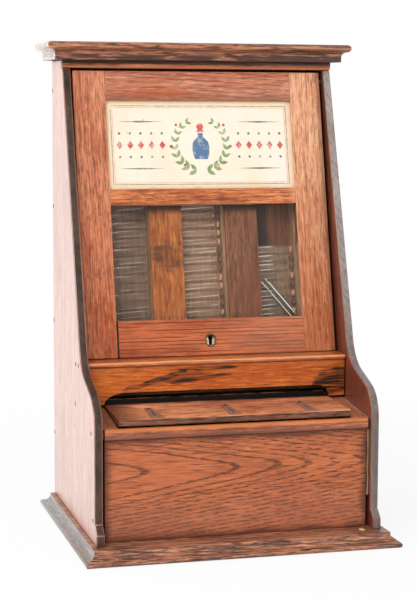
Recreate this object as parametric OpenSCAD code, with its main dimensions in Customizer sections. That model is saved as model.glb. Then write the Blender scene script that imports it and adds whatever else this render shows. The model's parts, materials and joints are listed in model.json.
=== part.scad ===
// Coin-operated counter cabinet that sells small corked vials, in oak, with a push-down coin lever.
// Millimetres. X is the customer's right, Y runs to the back, Z is up.
// The origin is the centre of the base board's underside.

/* [Base board] */
// Width of the base board over its moulded edge
base_w = 308; // [270:1:350]
// Depth of the base board over its moulded edge
base_d = 260; // [240:1:290]
// Thickness of the base board
base_t = 14; // [13:0.5:20]
// Height of the rounded nose at the foot of the moulded edge
base_nose_h = 5.5; // [4:0.5:6]
// Radius of the cove above the nose
base_cove_r = 7; // [4:0.5:7]
// Small step between a cove and the nose beside it
quirk = 0.5; // [0.2:0.1:0.8]
// How far the base board passes the case on each side
base_side_out = 14; // [11:0.5:20]
// How far the base board passes the front edge of the sides
base_front_out = 31.5; // [28:0.5:36]
// How far the base board passes the back of the case
base_back_out = 9; // [8.5:0.5:14]

/* [Case sides] */
// Thickness of each side
side_t = 8; // [7:0.5:10]
// How far the top of the sides lies ahead of the top of the door
side_top_out = 1; // [0:0.1:3]
// How far the sides pass the sill's nose at the sill
side_sill_out = 3.8; // [2:0.1:6]
// Slope of the shoulder of the sides, off the level
shoulder_slope = 19.2; // [18:0.1:21]
// Height above the ledge's nosing where the shoulder's slope would meet the front edge
shoulder_up = 23.1; // [20:0.1:26]
// Radius of the hollow above the shoulder
hollow_r = 40; // [25:1:42]
// Radius of the shoulder's nose
shoulder_r = 32; // [20:1:33]
// How far the foot of each side stands ahead of its front edge
foot_out = 9; // [5:0.5:12]
// Height of the foot's upright front
foot_h = 10.5; // [8:0.5:14]
// Height of the foot's slope
foot_slope_h = 8.5; // [6:0.5:12]

/* [Top] */
// How far the cornice passes the case on each side
cornice_side_out = 17; // [12:0.5:22]
// Height of the cornice board
cornice_h = 17.5; // [16:0.5:20]
// How far the cornice passes the bed mould
cornice_front_out = 17; // [12:0.5:22]
// How far the cornice passes the back of the case
cornice_back_out = 2; // [0:0.5:4]
// Height of the cornice's lowest upright strip
cornice_fillet_h = 5; // [3:0.5:6]
// Radius of the cornice's cove
cornice_cove_r = 5; // [4:0.5:6]
// Height of the bed mould under the cornice
bed_h = 8; // [6:0.5:10]
// Depth of the bed mould, front to back
bed_d = 7.5; // [6:0.5:9]
// How far the bed mould passes the front of the sides
bed_out = 4.8; // [3:0.1:6]
// Gap between the bed mould and the swinging top of the door
bed_gap = 1.4; // [0.8:0.1:4]

/* [Door] */
// Lean of the door, back from the vertical
door_lean = 13; // [11:0.1:14]
// Front face of the door at the sill, ahead of the centre
door_front = 0.8; // [0:0.1:4]
// Thickness of the door frame
door_t = 13; // [12:0.5:15]
// Width of each door stile
stile_w = 32.6; // [28:0.1:38]
// Gap between the door and each side
door_side_gap = 2.7; // [1:0.1:4]
// Height of the bottom rail, up the slope
bottom_rail_h = 36.9; // [34:0.1:46]
// Height of the window, up the slope
window_h = 116.2; // [100:0.1:130]
// Height of the middle rail, up the slope
middle_rail_h = 16; // [12:0.5:20]
// Height of the sign opening, up the slope
sign_h = 90.2; // [70:0.1:100]
// Height of the top rail, up the slope
top_rail_h = 30; // [24:0.5:36]
// Gap between the door and the sill
door_gap = 0.5; // [0.3:0.1:1]
// Depth of the rebate's front lip
rebate_lip = 4; // [3:0.5:5]
// Width of the rebate round each opening
rebate_w = 4; // [3:0.5:5]
// Play of the panes in their rebates
pane_play = 0.4; // [0.2:0.1:0.8]
// Thickness of the window glass
glass_t = 2; // [1.5:0.1:2.5]
// Thickness of the bead behind the glass
bead_t = 3; // [2:0.5:4]
// Thickness of the sign card
card_t = 0.8; // [0.5:0.1:1.2]
// Thickness of the board behind the sign card
backing_t = 4; // [3:0.5:5]
// Diameter of the door's pivot pins
door_pin_d = 5; // [4:0.5:6]
// Drop of the pivot pins below the top of the door
door_pin_drop = 8; // [7:0.5:12]
// Length of each pivot pin inside the door
door_pin_in = 14; // [10:1:20]
// Wood left outside the end of each pivot pin
door_pin_cover = 2; // [1:0.5:4]

/* [Lock] */
// Width of the lock case
lock_w = 30; // [24:1:40]
// Height of the lock case, up the slope
lock_h = 21; // [18:0.5:24]
// Foot of the lock case above the foot of the door, up the slope
lock_foot = 6; // [5:0.5:7]
// Depth of wood in front of the lock case
lock_cover = 6; // [5:0.5:7]
// How far the lock case stands out of the back of the door
lock_proud = 1; // [0.5:0.1:2]
// Play of the lock case in its pocket
lock_play = 0.2; // [0.1:0.1:0.4]
// Height of the middle of the keyhole ring, up the slope
keyhole_up = 15.4; // [14:0.1:18]
// Middle of the keyhole ring to the right of the door's middle
keyhole_x = -1.7; // [-4:0.1:4]
// Diameter of the keyhole
keyhole_d = 5; // [3.5:0.1:6]
// Height of the keyhole's round above the middle of its ring
keyhole_rise = 2.3; // [1.5:0.1:2.6]
// Width of the keyhole's tail
keyhole_tail_w = 3.4; // [1.5:0.1:4]
// Length of the keyhole's tail below its round's middle
keyhole_tail = 7; // [5:0.1:7.2]
// Depth of the keyway in the lock case
keyway_d = 1.5; // [0.8:0.1:1.7]
// Width of the keyhole ring
ring_w = 11; // [10:0.5:14]
// How much taller than wide the keyhole ring is
ring_stretch = 2.4; // [2:0.1:5]
// Wall of the keyhole ring
ring_wall = 1.3; // [1:0.1:1.6]
// Depth of the keyhole ring in the wood
ring_sink = 2.2; // [1.6:0.1:3]
// Thickness of the plate at the foot of the keyhole ring
ring_floor = 0.8; // [0.5:0.1:1.2]
// How far the keyhole ring stands out of the wood
ring_proud = 0.3; // [0.1:0.1:0.6]
// Width of the lock bolt
bolt_w = 10; // [8:0.5:12]
// Thickness of the lock bolt
bolt_t = 4; // [3:0.5:4.5]
// Length of the lock bolt
bolt_len = 16; // [13:0.5:18]
// Throw of the lock bolt
bolt_throw = 6; // [4:0.5:7]
// Play of the lock bolt on each side
bolt_play = 0.2; // [0.1:0.05:0.3]
// How far the drawn bolt stays clear of the foot of the door
bolt_lift = 0.3; // [0.1:0.1:0.6]
// Width of the strike plate
strike_w = 26; // [20:1:34]
// Depth of the strike plate, front to back
strike_d = 10; // [8:0.5:12]
// Thickness of the strike plate
strike_t = 1; // [0.6:0.1:1.5]

/* [Sill, apron and front panel] */
// Thickness of the sill
sill_t = 5.5; // [5:0.1:8]
// How far the sill stands ahead of the door
sill_out = 23.7; // [20:0.1:28]
// Depth of the sill, front to back
sill_d = 42.5; // [40:0.5:45]
// How far the sill's nose passes the apron
sill_nose = 2.2; // [1:0.1:3]
// Gap between each side and the rails that run across the case
rail_gap = 0.8; // [0.2:0.1:0.9]
// Thickness of the apron
apron_t = 10; // [8:0.5:11]
// Height of the apron at its ends
apron_h = 36.2; // [32:0.1:42]
// Height of the apron's feet above the lever's pivot
apron_foot_up = 0.7; // [0.4:0.1:2]
// Height of the top of the delivery arch above the lever's pivot
arch_up = 12; // [11:0.1:15]
// Width of the curve at the left end of the delivery arch
arch_left = 22; // [12:0.5:30]
// Width of the curve at the right end of the delivery arch
arch_right = 13; // [10:0.5:30]
// Thickness of the lower front panel
panel_t = 8; // [6:0.5:9]
// How far the front panel lies behind the front edge of the sides
panel_recess = 5; // [3:0.5:7]
// Height of the front panel
panel_h = 97; // [90:0.5:110]
// Gap between the front panel and each side
panel_gap = 2.5; // [1:0.1:4]
// Size of the glue blocks behind the front panel
block_w = 12; // [8:0.5:13]

/* [Ledge] */
// How far the ledge's nosing passes the front panel
nosing_out = 2.8; // [1.5:0.1:4]
// Depth of the nosing
nosing_d = 6.7; // [6:0.1:8]
// Height of the nosing
nosing_h = 10.2; // [8:0.1:12]
// Rounding of the nosing
nosing_r = 3; // [1:0.1:3.5]
// Width of each ledge strip
ledge_w = 16.8; // [12:0.1:24]
// Slope of the ledge strips
ledge_slope = 6.2; // [5:0.1:6.8]
// Gap beside the push lever
lever_gap = 0.8; // [0.5:0.1:1.2]

/* [Push lever] */
// Thickness of the push lever
lever_t = 6.5; // [5.5:0.1:8]
// Gap between the push lever and the nosing
lever_front_gap = 1.2; // [0.8:0.1:2]
// Height of the lever's top above its pivot
lever_rise = 0.3; // [0:0.1:0.5]
// Slope of the push lever at rest
lever_slope = 1.5; // [1.2:0.1:2]
// Distance from the back of the apron to the lever's pivot
lever_pivot_in = 9.9; // [9:0.1:12]
// Diameter of the lever's pivot rod
lever_rod_d = 5; // [4:0.1:6]
// Travel of the lever in degrees
lever_travel = 6.5; // [5:0.1:7.2]
// Gap between the lever, fully down, and the front panel
lever_dip_gap = 1.7; // [1:0.1:4]
// Half the depth of the rail at the back of the lever
rail_half_d = 6.7; // [6:0.1:8]
// Height of that rail above the pivot
rail_rise = 4.4; // [4:0.1:5]
// Radial clearance of rods, pins and screw heads in their bores
run_clear = 0.05; // [0.02:0.01:0.1]
// Rounding of the lever's front edge
lever_round = 2; // [1:0.1:2.5]

/* [Coin gear] */
// Distance between the middles of two columns
column_pitch = 76.5; // [70:0.1:84]
// Length of the coin slots
slot_len = 21; // [19:0.5:23]
// Width of the coin slots
slot_w = 2.2; // [2.1:0.1:2.6]
// Middle of the coin slots behind the lever's front edge
slot_in = 21.5; // [19:0.1:24]
// Length of the coin plates
plate_len = 46; // [36:0.5:50]
// Width of the coin plates at the front
plate_front_w = 13; // [10:0.5:20]
// Width of the coin plates at the back
plate_back_w = 7.5; // [6:0.5:10]
// Rounding of the coin plates at the back
plate_back_r = 2.5; // [1:0.1:3]
// Rounding of the coin plates at the front
plate_front_r = 1; // [0.5:0.1:2]
// Thickness of the coin plates
plate_t = 1.2; // [0.8:0.1:1.5]
// How far the coin plates stand above the lever
plate_proud = 0.4; // [0.1:0.1:0.6]
// Front of the coin plates behind the lever's front edge
plate_inset = 1.5; // [1:0.1:3]
// Width of the coin carriers under the lever
carrier_w = 9; // [7:0.5:12]
// Depth of the coin carriers below the lever
carrier_drop = 8.8; // [8:0.1:10]
// Wall at the ends of a coin carrier
carrier_wall = 3; // [2:0.5:4]
// Height of the stop rail under the lever
stop_h = 7.3; // [6:0.1:9]
// Depth of the stop rail, front to back
stop_d = 8; // [6:0.5:10]
// Distance from the coin carriers to the stop rail
stop_clear = 4.4; // [3:0.1:6]
// Gap between the stop rail and the lever when it is fully down
stop_gap = 0.3; // [0.2:0.1:0.6]
// Width of each leaf spring
leaf_w = 10; // [6:0.5:14]
// Thickness of each leaf spring
leaf_t = 0.8; // [0.5:0.1:1]
// Tip of each leaf spring behind the lever's front edge
leaf_in = 8; // [6:0.5:12]
// Gap between a leaf spring's tip and the lever at rest
leaf_gap = 0.3; // [0.2:0.1:0.6]

/* [Trip levers] */
// Thickness of the trip levers
trip_t = 1.6; // [1.2:0.1:1.8]
// Distance from the finger back to the trip levers' pivot
finger_reach = 46.9; // [43:0.1:50]
// Height of the trip levers' pivot above the cash drawer
trip_over = 14.7; // [12:0.1:20]
// Diameter of the trip levers' rod
trip_rod_d = 5; // [4:0.5:6]
// Diameter of the trip levers' hub
trip_hub_d = 12; // [10:0.5:14]
// Width of the trip levers' hub along the rod
trip_hub_w = 8; // [5:0.5:12]
// Travel of the trip levers in degrees
trip_travel = 8; // [6:0.1:8.4]
// Width of the finger under the coin
finger_w = 6; // [4:0.5:8]
// Length of the finger's upright end
finger_h = 12; // [8:0.5:16]
// Gap between the finger and the coin carrier
finger_gap = 1.5; // [1:0.1:2]
// Height of a trip lever's arms at their ends
arm_h = 5; // [3:0.5:7]
// Drop of the ejector pin below the ejector shelf
drive_drop = 14.4; // [13.5:0.1:18]
// Diameter of the ejector pin
drive_pin_d = 4; // [3:0.5:5]
// Clearance of the ejector pin in the fork, each side
fork_clear = 0.45; // [0.4:0.05:0.8]
// Width of each prong of the fork
fork_wall = 4; // [3:0.5:5]
// Height of the fork above the ejector pin
fork_over = 4; // [3:0.1:4.5]
// Depth of the fork below the ejector pin's lowest place
fork_spare = 2; // [1:0.5:4]

/* [Vials and magazine] */
// Diameter of a vial
vial_d = 8.8; // [8:0.1:9.6]
// Length of a vial with its cork
vial_len = 42; // [38:0.5:46]
// Diameter of a vial's neck
neck_d = 6; // [5:0.1:6.5]
// Diameter of a vial's lip
lip_d = 7.2; // [6.6:0.1:7.8]
// Length of a vial's neck with its lip
neck_len = 4; // [3:0.5:6]
// Length of a vial's lip
lip_len = 2; // [1:0.1:2.5]
// Length of a vial's shoulder
shoulder_len = 2; // [1:0.1:3]
// Bevel round the foot of a vial
heel = 0.8; // [0.4:0.1:1.2]
// Length of the cork that shows
cork_len = 5; // [3:0.5:7]
// Diameter of the cork at the lip
cork_d = 5.4; // [4.5:0.1:5.8]
// How much the cork widens
cork_flare = 0.8; // [0.2:0.1:1]
// Gap between a vial and what it lies against
vial_gap = 0.3; // [0.2:0.05:0.4]
// Gap before and behind the loose vial
loose_gap = 0.9; // [0.6:0.1:1.2]
// Length of the loose vial, a longer one without a cork
loose_len = 52; // [48:0.5:52]
// Tilt of the loose vial
loose_tilt = 51; // [50:1:56]
// Middle of the loose vial to the right of its column's middle
loose_right = 1.5; // [1:0.1:1.6]
// Gap between the ends of a vial and its column
end_gap = 0.75; // [0.5:0.05:1]
// Vials above the one at the ejector, in the two full columns
full_count = 19; // [6:1:22]
// Vials above the one at the ejector, in the third column
short_count = 13; // [2:1:22]
// Gap between the lock case and the bar in front of the columns
bar_clear = 0.5; // [0.4:0.1:1]
// Thickness of the mask strips
mask_t = 5.5; // [4:0.1:6]
// How far a mask strip passes its post on each side
mask_lap = 0.3; // [0.1:0.1:0.6]
// How far the right mask strip lies to the right of its post's middle
mask_shift = 2.8; // [0:0.1:3.5]
// Thickness of the magazine's back
magazine_t = 4; // [3:0.5:5]
// Drop of the magazine's top below the door's top rail, up the slope
magazine_drop = 4.3; // [2:0.1:40]
// Width of the outer posts of the magazine
cheek_w = 12; // [8:0.5:16]
// Drop of the bar in front of the columns below the window, up the slope
bar_low = 4.4; // [4:0.1:8]
// Room over the lowest vial, under the sill
shelf_drop = 5.5; // [4.5:0.1:8]
// Thickness of the ejector shelf
shelf_t = 5; // [4:0.1:5.5]

/* [Ejectors] */
// How much shorter than a vial an ejector is at each end
ejector_in = 1; // [0.5:0.1:3]
// Length of an ejector's block
ejector_len = 27.5; // [26:0.5:30]
// Gap between an ejector and the shelf
ejector_gap = 0.15; // [0.1:0.05:0.2]
// Depth of the ejector's tongue, front to back
tongue_t = 4; // [3:0.5:5]
// Width of the ejector's tongue
tongue_w = 4; // [3:0.5:6]
// Middle of the tongue ahead of the back of the block
tongue_in = 6.9; // [5:0.1:9]
// Gap between the tongue and the trip lever
tongue_gap = 0.7; // [0.5:0.1:1]
// How far the ejector pin passes the trip lever
pin_past = 1.7; // [1:0.1:2.5]
// Play round the tongue in the shelf
slot_play = 1; // [0.6:0.1:1.5]
// How far the shelf passes the ejectors at the back
shelf_back_out = 3; // [1:0.5:8]

/* [Chute] */
// Thickness of the delivery chute
chute_t = 4; // [3:0.5:5]
// Gap between the chute and the lever's rail
chute_gap = 2; // [1.5:0.1:3]
// Height of the chute's lip above the lever's rail
chute_lift = 1.2; // [0.8:0.1:3]
// Step from the shelf down to the chute
chute_step = 1; // [0.5:0.1:2]

/* [Cash drawer] */
// Distance from each side of the case to the drawer
drawer_in = 26; // [22:1:50]
// Height of the cash drawer
drawer_h = 35; // [28:0.5:38]
// Gap between the drawer and the base board
drawer_lift = 0.3; // [0.2:0.1:0.5]
// Gap between the drawer and the front panel
drawer_front_gap = 5; // [3:0.5:20]
// Thickness of the drawer's walls
drawer_wall = 6; // [4:0.5:8]
// Thickness of the drawer's bottom
drawer_floor = 5; // [3:0.5:6]
// Running gap beside and above the drawer
drawer_gap = 0.6; // [0.3:0.1:1]
// Thickness of the back board
back_t = 8; // [6:0.5:10]
// Diameter of the drawer knob
knob_d = 16; // [12:0.5:20]
// Diameter of the knob's neck
knob_neck_d = 8; // [6:0.5:10]
// Diameter of the flat on the knob
knob_flat_d = 11; // [8:0.5:11.5]
// Height of the knob's neck
knob_neck_h = 3.4; // [2:0.1:3.6]
// Height of the knob's bevel on each side
knob_bevel = 1.4; // [0.8:0.1:1.6]
// Height of the drawer knob
knob_h = 8.4; // [7:0.1:8.4]
// Width of each drawer runner
runner_w = 6; // [4:0.5:7]
// Height of each drawer runner
runner_h = 8; // [5:0.5:12]

/* [Screws] */
// Diameter of the screw heads
screw_d = 4.4; // [3:0.1:5]
// Depth of the screw heads
screw_h = 1; // [0.6:0.1:1.5]
// First screw of the sill behind its nose
sill_screw_in = 6; // [5:0.1:8]
// Distance between the two screws of the sill
sill_screw_pitch = 12.9; // [10:0.1:15]
// Screw of the ledge strips behind the nosing
ledge_screw_in = 7.7; // [6:0.1:20]
// Screw of the front panel above the base board
panel_screw_up = 21; // [15:0.5:40]
// Lowest screw of the back board above the base board
back_screw_up = 66; // [50:0.5:80]
// Distance between the screws of the back board
back_screw_pitch = 118.4; // [100:0.1:122]
// Rows of screws in the back board
back_screw_rows = 4; // [2:1:4]
// Screws of the back board in from its edges
back_screw_in = 12; // [8:0.5:20]
// Diameter of the coin plates' screw heads
plate_screw_d = 3.6; // [3:0.1:4]
// Height of the coin plates' screw heads
plate_screw_h = 0.8; // [0.4:0.1:1]

/* [Hidden] */
$fn = 48;
arc_steps = 10;
reach = 1000;
sliver = 0.01;

// Case widths and depths
half_w = base_w / 2 - base_side_out;
inner_w = half_w - side_t;
rail_half = inner_w - rail_gap;
panel_half = inner_w - panel_gap;
case_front_y = -base_d / 2 + base_front_out;
case_back_y = base_d / 2 - base_back_out;
back_y = case_back_y - back_t;
panel_y = case_front_y + panel_recess;
panel_back_y = panel_y + panel_t;
nosing_y = panel_y - nosing_out;
nosing_back_y = nosing_y + nosing_d;
sill_y = -door_front - sill_out;
apron_y = sill_y + sill_nose;
apron_back_y = apron_y + apron_t;

// Push lever
lever_pivot_y = apron_back_y + lever_pivot_in;
lever_len = lever_pivot_y - nosing_back_y - lever_front_gap;
lever_low = lever_rise - lever_t;
lever_down = lever_slope + lever_travel;
ledge_in = inner_w - ledge_w;
lever_half = ledge_in - lever_gap;

// Heights, from the base board up to the cornice
panel_top_z = base_t + panel_h;
nosing_top_z = panel_top_z + nosing_h;
lever_pivot_z = panel_top_z + lever_dip_gap + lever_len * sin(lever_down) - lever_low * cos(lever_down);
apron_foot_z = lever_pivot_z + apron_foot_up;
arch_z = lever_pivot_z + arch_up;
sill_z = apron_foot_z + apron_h;
sill_top = sill_z + sill_t;

// Door, as distances up its slope
door_c = cos(door_lean);
door_s = sin(door_lean);
door_half = inner_w - door_side_gap;
open_half = door_half - stile_w;
window_s = bottom_rail_h;
middle_s = window_s + window_h;
sign_s = middle_s + middle_rail_h;
top_rail_s = sign_s + sign_h;
door_len = top_rail_s + top_rail_h;
pin_s = door_len - door_pin_drop;
pin_z = sill_top + pin_s * door_c - door_t / 2 * door_s;
bead_depth = rebate_lip + glass_t;
lock_t = door_t - lock_cover + lock_proud;
bolt_depth = lock_cover + lock_t / 2;
bolt_rest = (bolt_depth + bolt_t / 2) * tan(door_lean) + door_gap / door_c + bolt_lift;
strike_y = -door_front + bolt_depth * door_c - strike_d / 2;

// Top of the case
bed_z = pin_z + norm([door_t / 2, door_pin_drop]) + bed_gap;
side_top_z = bed_z + bed_h;
side_top_y = -door_front + door_len * door_s - side_top_out;
bed_y = side_top_y - bed_out;
cornice_y = bed_y - cornice_front_out;
cornice_back_y = case_back_y + cornice_back_out;
cornice_half = half_w + cornice_side_out;

// Corner points of a side: depth, height and rounding
lean_t = (side_top_y - sill_y + side_sill_out) / (side_top_z - sill_top);
lean_foot_y = side_top_y - side_top_z * lean_t;
shoulder_t = tan(shoulder_slope);
shoulder_z = nosing_top_z + shoulder_up;
hollow_z = (shoulder_z + shoulder_t * (lean_foot_y - case_front_y)) / (1 - shoulder_t * lean_t);
side_outline = [
    [case_back_y, base_t, 0],
    [case_back_y, side_top_z, 0],
    [side_top_y, side_top_z, 0],
    [lean_foot_y + hollow_z * lean_t, hollow_z, hollow_r],
    [case_front_y, shoulder_z, shoulder_r],
    [case_front_y, base_t + foot_h + foot_slope_h, 0],
    [case_front_y - foot_out, base_t + foot_h, 0],
    [case_front_y - foot_out, base_t, 0]];

// Coin gear
columns = [-column_pitch, 0, column_pitch];
slot_ahead = lever_len - slot_in;
plate_y = plate_inset - lever_len;
carrier_half = slot_len / 2 + carrier_wall;
stop_ahead = slot_ahead - carrier_half - stop_clear;
stop_y = lever_pivot_y - stop_ahead;
stop_z = lever_pivot_z + lever_low / cos(lever_down) - stop_ahead * tan(lever_down) - stop_gap;
stop_low = stop_z - stop_h;
leaf_ahead = lever_len - leaf_in;
leaf_y = lever_pivot_y - leaf_ahead;
leaf_z = lever_pivot_z + lever_low / cos(lever_slope) - leaf_ahead * tan(lever_slope) - leaf_gap;

// Magazine
vial_pitch = vial_d + vial_gap;
vial_depth = door_t + 3 / 2 * vial_d + 2 * loose_gap;
shelf_z = sill_z - vial_d - shelf_drop;
shelf_low = shelf_z - shelf_t;
ready_z = shelf_z + vial_gap + vial_d / 2;
ready_s = (ready_z - sill_top + vial_depth * door_s) / door_c;
ready_y = -door_front + ready_s * door_s + vial_depth * door_c;
mask_depth = lock_cover + lock_t + bar_clear;
post_depth = mask_depth + mask_t;
channel_back = vial_depth + vial_d / 2 + vial_gap;
column_w = vial_len + 2 * end_gap;
post_in = column_w / 2;
post_out = column_pitch - column_w / 2;
cheek_in = column_pitch + column_w / 2;
magazine_top = top_rail_s - magazine_drop;
bar_top = bottom_rail_h - bar_low;
loose_depth = door_t + loose_gap + vial_d / 2;
loose_s = bar_top + loose_len / 2 * sin(loose_tilt) + vial_d / 2 * cos(loose_tilt) + vial_gap;

// Cash drawer
drawer_half = inner_w - drawer_in;
drawer_z = base_t + drawer_lift;
drawer_top = drawer_z + drawer_h;
drawer_y = panel_back_y + drawer_front_gap;

// Trip levers and ejectors
block_y = ready_y + vial_d / 2 + 2 * vial_gap;
block_back_y = block_y + ejector_len;
block_low = shelf_z + ejector_gap;
block_top = ready_z + vial_pitch * door_c - vial_d / 2 - 2 * vial_gap;
finger_y = lever_pivot_y - slot_ahead;
finger_z = lever_pivot_z + lever_low - carrier_drop - slot_ahead * tan(lever_slope) - finger_gap;
trip_y = finger_y + finger_reach;
trip_z = drawer_top + trip_over;
drive_y = block_back_y - tongue_in;
drive_z = shelf_low - drive_drop;
drive_back = drive_y - trip_y;
drive_up = drive_z - trip_z;
ejector_run = drive_up * tan(trip_travel) - drive_back * (1 / cos(trip_travel) - 1);
fork_half = drive_pin_d / 2 + fork_clear;
fork_out = fork_half + fork_wall;
fork_low = drive_z - drive_back * sin(trip_travel) - drive_pin_d - fork_spare;
tongue_x = trip_t / 2 + tongue_gap;
shelf_y = ready_y - vial_d / 2 - 2 * vial_gap;
shelf_back_y = block_back_y + shelf_back_out;
chute_y = lever_pivot_y + rail_half_d + chute_gap;
chute_z = lever_pivot_z + rail_rise + chute_lift;

// The arc of radius r that rounds the corner b between its neighbours a and c
function unit(v) = v / norm(v);
function turn(a) = a > 180 ? a - 360 : a < -180 ? a + 360 : a;
function corner(a, b, c, r) = let(
    u = unit(a - b),
    v = unit(c - b),
    half = acos(u * v) / 2,
    m = b + unit(u + v) * r / sin(half),
    p = b + u * r / tan(half) - m,
    q = b + v * r / tan(half) - m,
    start = atan2(p[1], p[0]),
    sweep = turn(atan2(q[1], q[0]) - start))
    [for (i = [0 : arc_steps]) let(a = start + sweep * i / arc_steps) m + r * [cos(a), sin(a)]];

// An outline of [x, y, rounding] points with its corners rounded
function xy(p) = [p[0], p[1]];
function rounded(pts) = let(n = len(pts)) [
    for (i = [0 : n - 1])
        each pts[i][2] == 0 ? [xy(pts[i])]
            : corner(xy(pts[(i + n - 1) % n]), xy(pts[i]), xy(pts[(i + 1) % n]), pts[i][2])];

// A box between two corners
module box(x0, x1, y0, y1, z0, z1) {
    translate([x0, y0, z0]) cube([x1 - x0, y1 - y0, z1 - z0]);
}

// A box alike on both sides of the middle
module across(half, y0, y1, z0, z1) {
    box(-half, half, y0, y1, z0, z1);
}

// A depth and height outline drawn out from x0 to x1
module yz(x0, x1) {
    translate([x0, 0, 0]) rotate([90, 0, 90]) linear_extrude(x1 - x0) children();
}

// A width and height outline drawn out from y0 to y1
module xz(y0, y1) {
    translate([0, y1, 0]) rotate([90, 0, 0]) linear_extrude(y1 - y0) children();
}

// A round bar along X
module bar_x(x0, x1, y, z, d) {
    translate([x0, y, z]) rotate([0, 90, 0]) cylinder(d = d, h = x1 - x0);
}

// The same solid on both sides of the middle
module both_sides() {
    children();
    mirror([1, 0, 0]) children();
}

// Both halves of a section
module mirrored() {
    children();
    mirror([1, 0]) children();
}

// The leaning frame of the door: Y is the depth behind its face, Z runs up the slope from the sill
module on_door() {
    translate([0, -door_front, sill_top]) rotate([-door_lean, 0, 0]) children();
}

// The frame of the push lever, at its pivot
module on_lever() {
    translate([0, lever_pivot_y, lever_pivot_z]) rotate([lever_slope, 0, 0]) children();
}

// The part of a solid above a level
module above(z) {
    intersection() {
        children();
        box(-reach, reach, -reach, reach, z, z + reach);
    }
}

// Half section of the base board's moulded edge, out to w
module base_section(w) {
    nose_x = w - base_nose_h / 2;
    cove_x = nose_x + quirk;
    cove_top = base_nose_h + base_cove_r;
    square([cove_x - base_cove_r, base_t]);
    square([nose_x, base_nose_h]);
    translate([nose_x, base_nose_h / 2]) circle(d = base_nose_h);
    difference() {
        translate([0, base_nose_h / 2]) square([cove_x, cove_top - base_nose_h / 2]);
        translate([cove_x, cove_top]) circle(r = base_cove_r);
    }
}

// Half section of the cornice's moulded edge, out to w
module cornice_section(w) {
    nose_low = cornice_fillet_h + cornice_cove_r;
    nose_h = cornice_h - nose_low;
    nose_x = w - nose_h / 2;
    cove_x = nose_x + quirk;
    square([cove_x - cornice_cove_r, cornice_h]);
    translate([0, nose_low]) square([nose_x, nose_h]);
    translate([nose_x, nose_low + nose_h / 2]) circle(d = nose_h);
    difference() {
        translate([0, cornice_fillet_h]) square([cove_x, cornice_cove_r + nose_h / 2]);
        translate([cove_x, cornice_fillet_h]) circle(r = cornice_cove_r);
    }
}

module base_board() {
    color("saddlebrown") intersection() {
        xz(-base_d / 2, base_d / 2) mirrored() base_section(base_w / 2);
        yz(-base_w / 2, base_w / 2) mirrored() base_section(base_d / 2);
    }
}

// The left side of the case, with its bores and screw pockets
module case_side() {
    blind_x = -half_w + side_t / 2;
    difference() {
        yz(-half_w, -inner_w) difference() {
            polygon(rounded(side_outline));
            translate([0, bed_z]) square([bed_y + bed_d, bed_h]);
        }
        bar_x(-half_w - sliver, -inner_w + sliver, lever_pivot_y, lever_pivot_z, lever_rod_d + 2 * run_clear);
        bar_x(blind_x, -inner_w + sliver, trip_y, trip_z, trip_rod_d + 2 * run_clear);
        on_door() bar_x(-half_w + door_pin_cover, -inner_w + sliver, door_t / 2, pin_s,
            door_pin_d + 2 * run_clear);
        side_screws(screw_d + 2 * run_clear);
    }
}

module left_side() {
    color("rosybrown") case_side();
}

module right_side() {
    color("rosybrown") mirror([1, 0, 0]) case_side();
}

module back_board() {
    color("sienna") difference() {
        across(inner_w, back_y, case_back_y, base_t, side_top_z);
        across(drawer_half + drawer_gap, back_y - sliver, case_back_y + sliver, base_t - sliver,
            drawer_top + drawer_gap);
        back_screws(screw_d + 2 * run_clear);
    }
}

module cornice() {
    color("saddlebrown") translate([0, 0, side_top_z]) intersection() {
        xz(cornice_y, cornice_back_y) mirrored() cornice_section(cornice_half);
        yz(-cornice_half, cornice_half) translate([cornice_back_y, 0])
            mirror([1, 0]) cornice_section(cornice_back_y - cornice_y);
    }
}

module bed_mould() {
    color("peru") yz(-half_w, half_w) polygon(rounded([
        [bed_y, bed_z + bed_h, 0],
        [bed_y, bed_z, bed_h / 2],
        [bed_y + bed_d, bed_z, 0],
        [bed_y + bed_d, bed_z + bed_h, 0]]));
}

// The way of the lock bolt, from one place up the door's slope to another
module bolt_way(s0, s1) {
    on_door() across(bolt_w / 2 + bolt_play, bolt_depth - bolt_t / 2 - bolt_play,
        bolt_depth + bolt_t / 2 + bolt_play, s0, s1);
}

module sill_rail() {
    nose_r = sill_t / 2 - run_clear;
    color("chocolate") difference() {
        yz(-rail_half, rail_half) polygon(rounded([
            [sill_y, sill_z, nose_r],
            [sill_y + sill_d, sill_z, 0],
            [sill_y + sill_d, sill_top, 0],
            [sill_y, sill_top, nose_r]]));
        bolt_way(-bolt_throw - sill_t, bolt_rest);
        across(strike_w / 2, strike_y, strike_y + strike_d, sill_top - strike_t, sill_top + sliver);
    }
}

module strike_plate() {
    color("darkgoldenrod") difference() {
        across(strike_w / 2, strike_y, strike_y + strike_d, sill_top - strike_t, sill_top);
        bolt_way(-bolt_throw - sill_t, bolt_rest);
    }
}

// A point of the quarter round at an end of the delivery arch, 0 at its top and 90 at its foot
function arch_point(side, run, a) = [
    side * (ledge_in - run * (1 - sin(a))),
    apron_foot_z + (arch_z - apron_foot_z) * cos(a)];

// The apron, with the delivery arch in its lower edge
module apron() {
    color("chocolate") xz(apron_y, apron_back_y) polygon(concat(
        [[-rail_half, sill_z], [-rail_half, apron_foot_z]],
        [for (i = [arc_steps : -1 : 0]) arch_point(-1, arch_left, 90 * i / arc_steps)],
        [for (i = [0 : arc_steps]) arch_point(1, arch_right, 90 * i / arc_steps)],
        [[rail_half, apron_foot_z], [rail_half, sill_z]]));
}

module front_panel() {
    color("sienna") across(panel_half, panel_y, panel_back_y, base_t, panel_top_z);
}

module corner_blocks() {
    color("burlywood") both_sides()
        box(inner_w - block_w, inner_w, panel_back_y, panel_back_y + block_w, base_t, panel_top_z - block_w);
}

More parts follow.
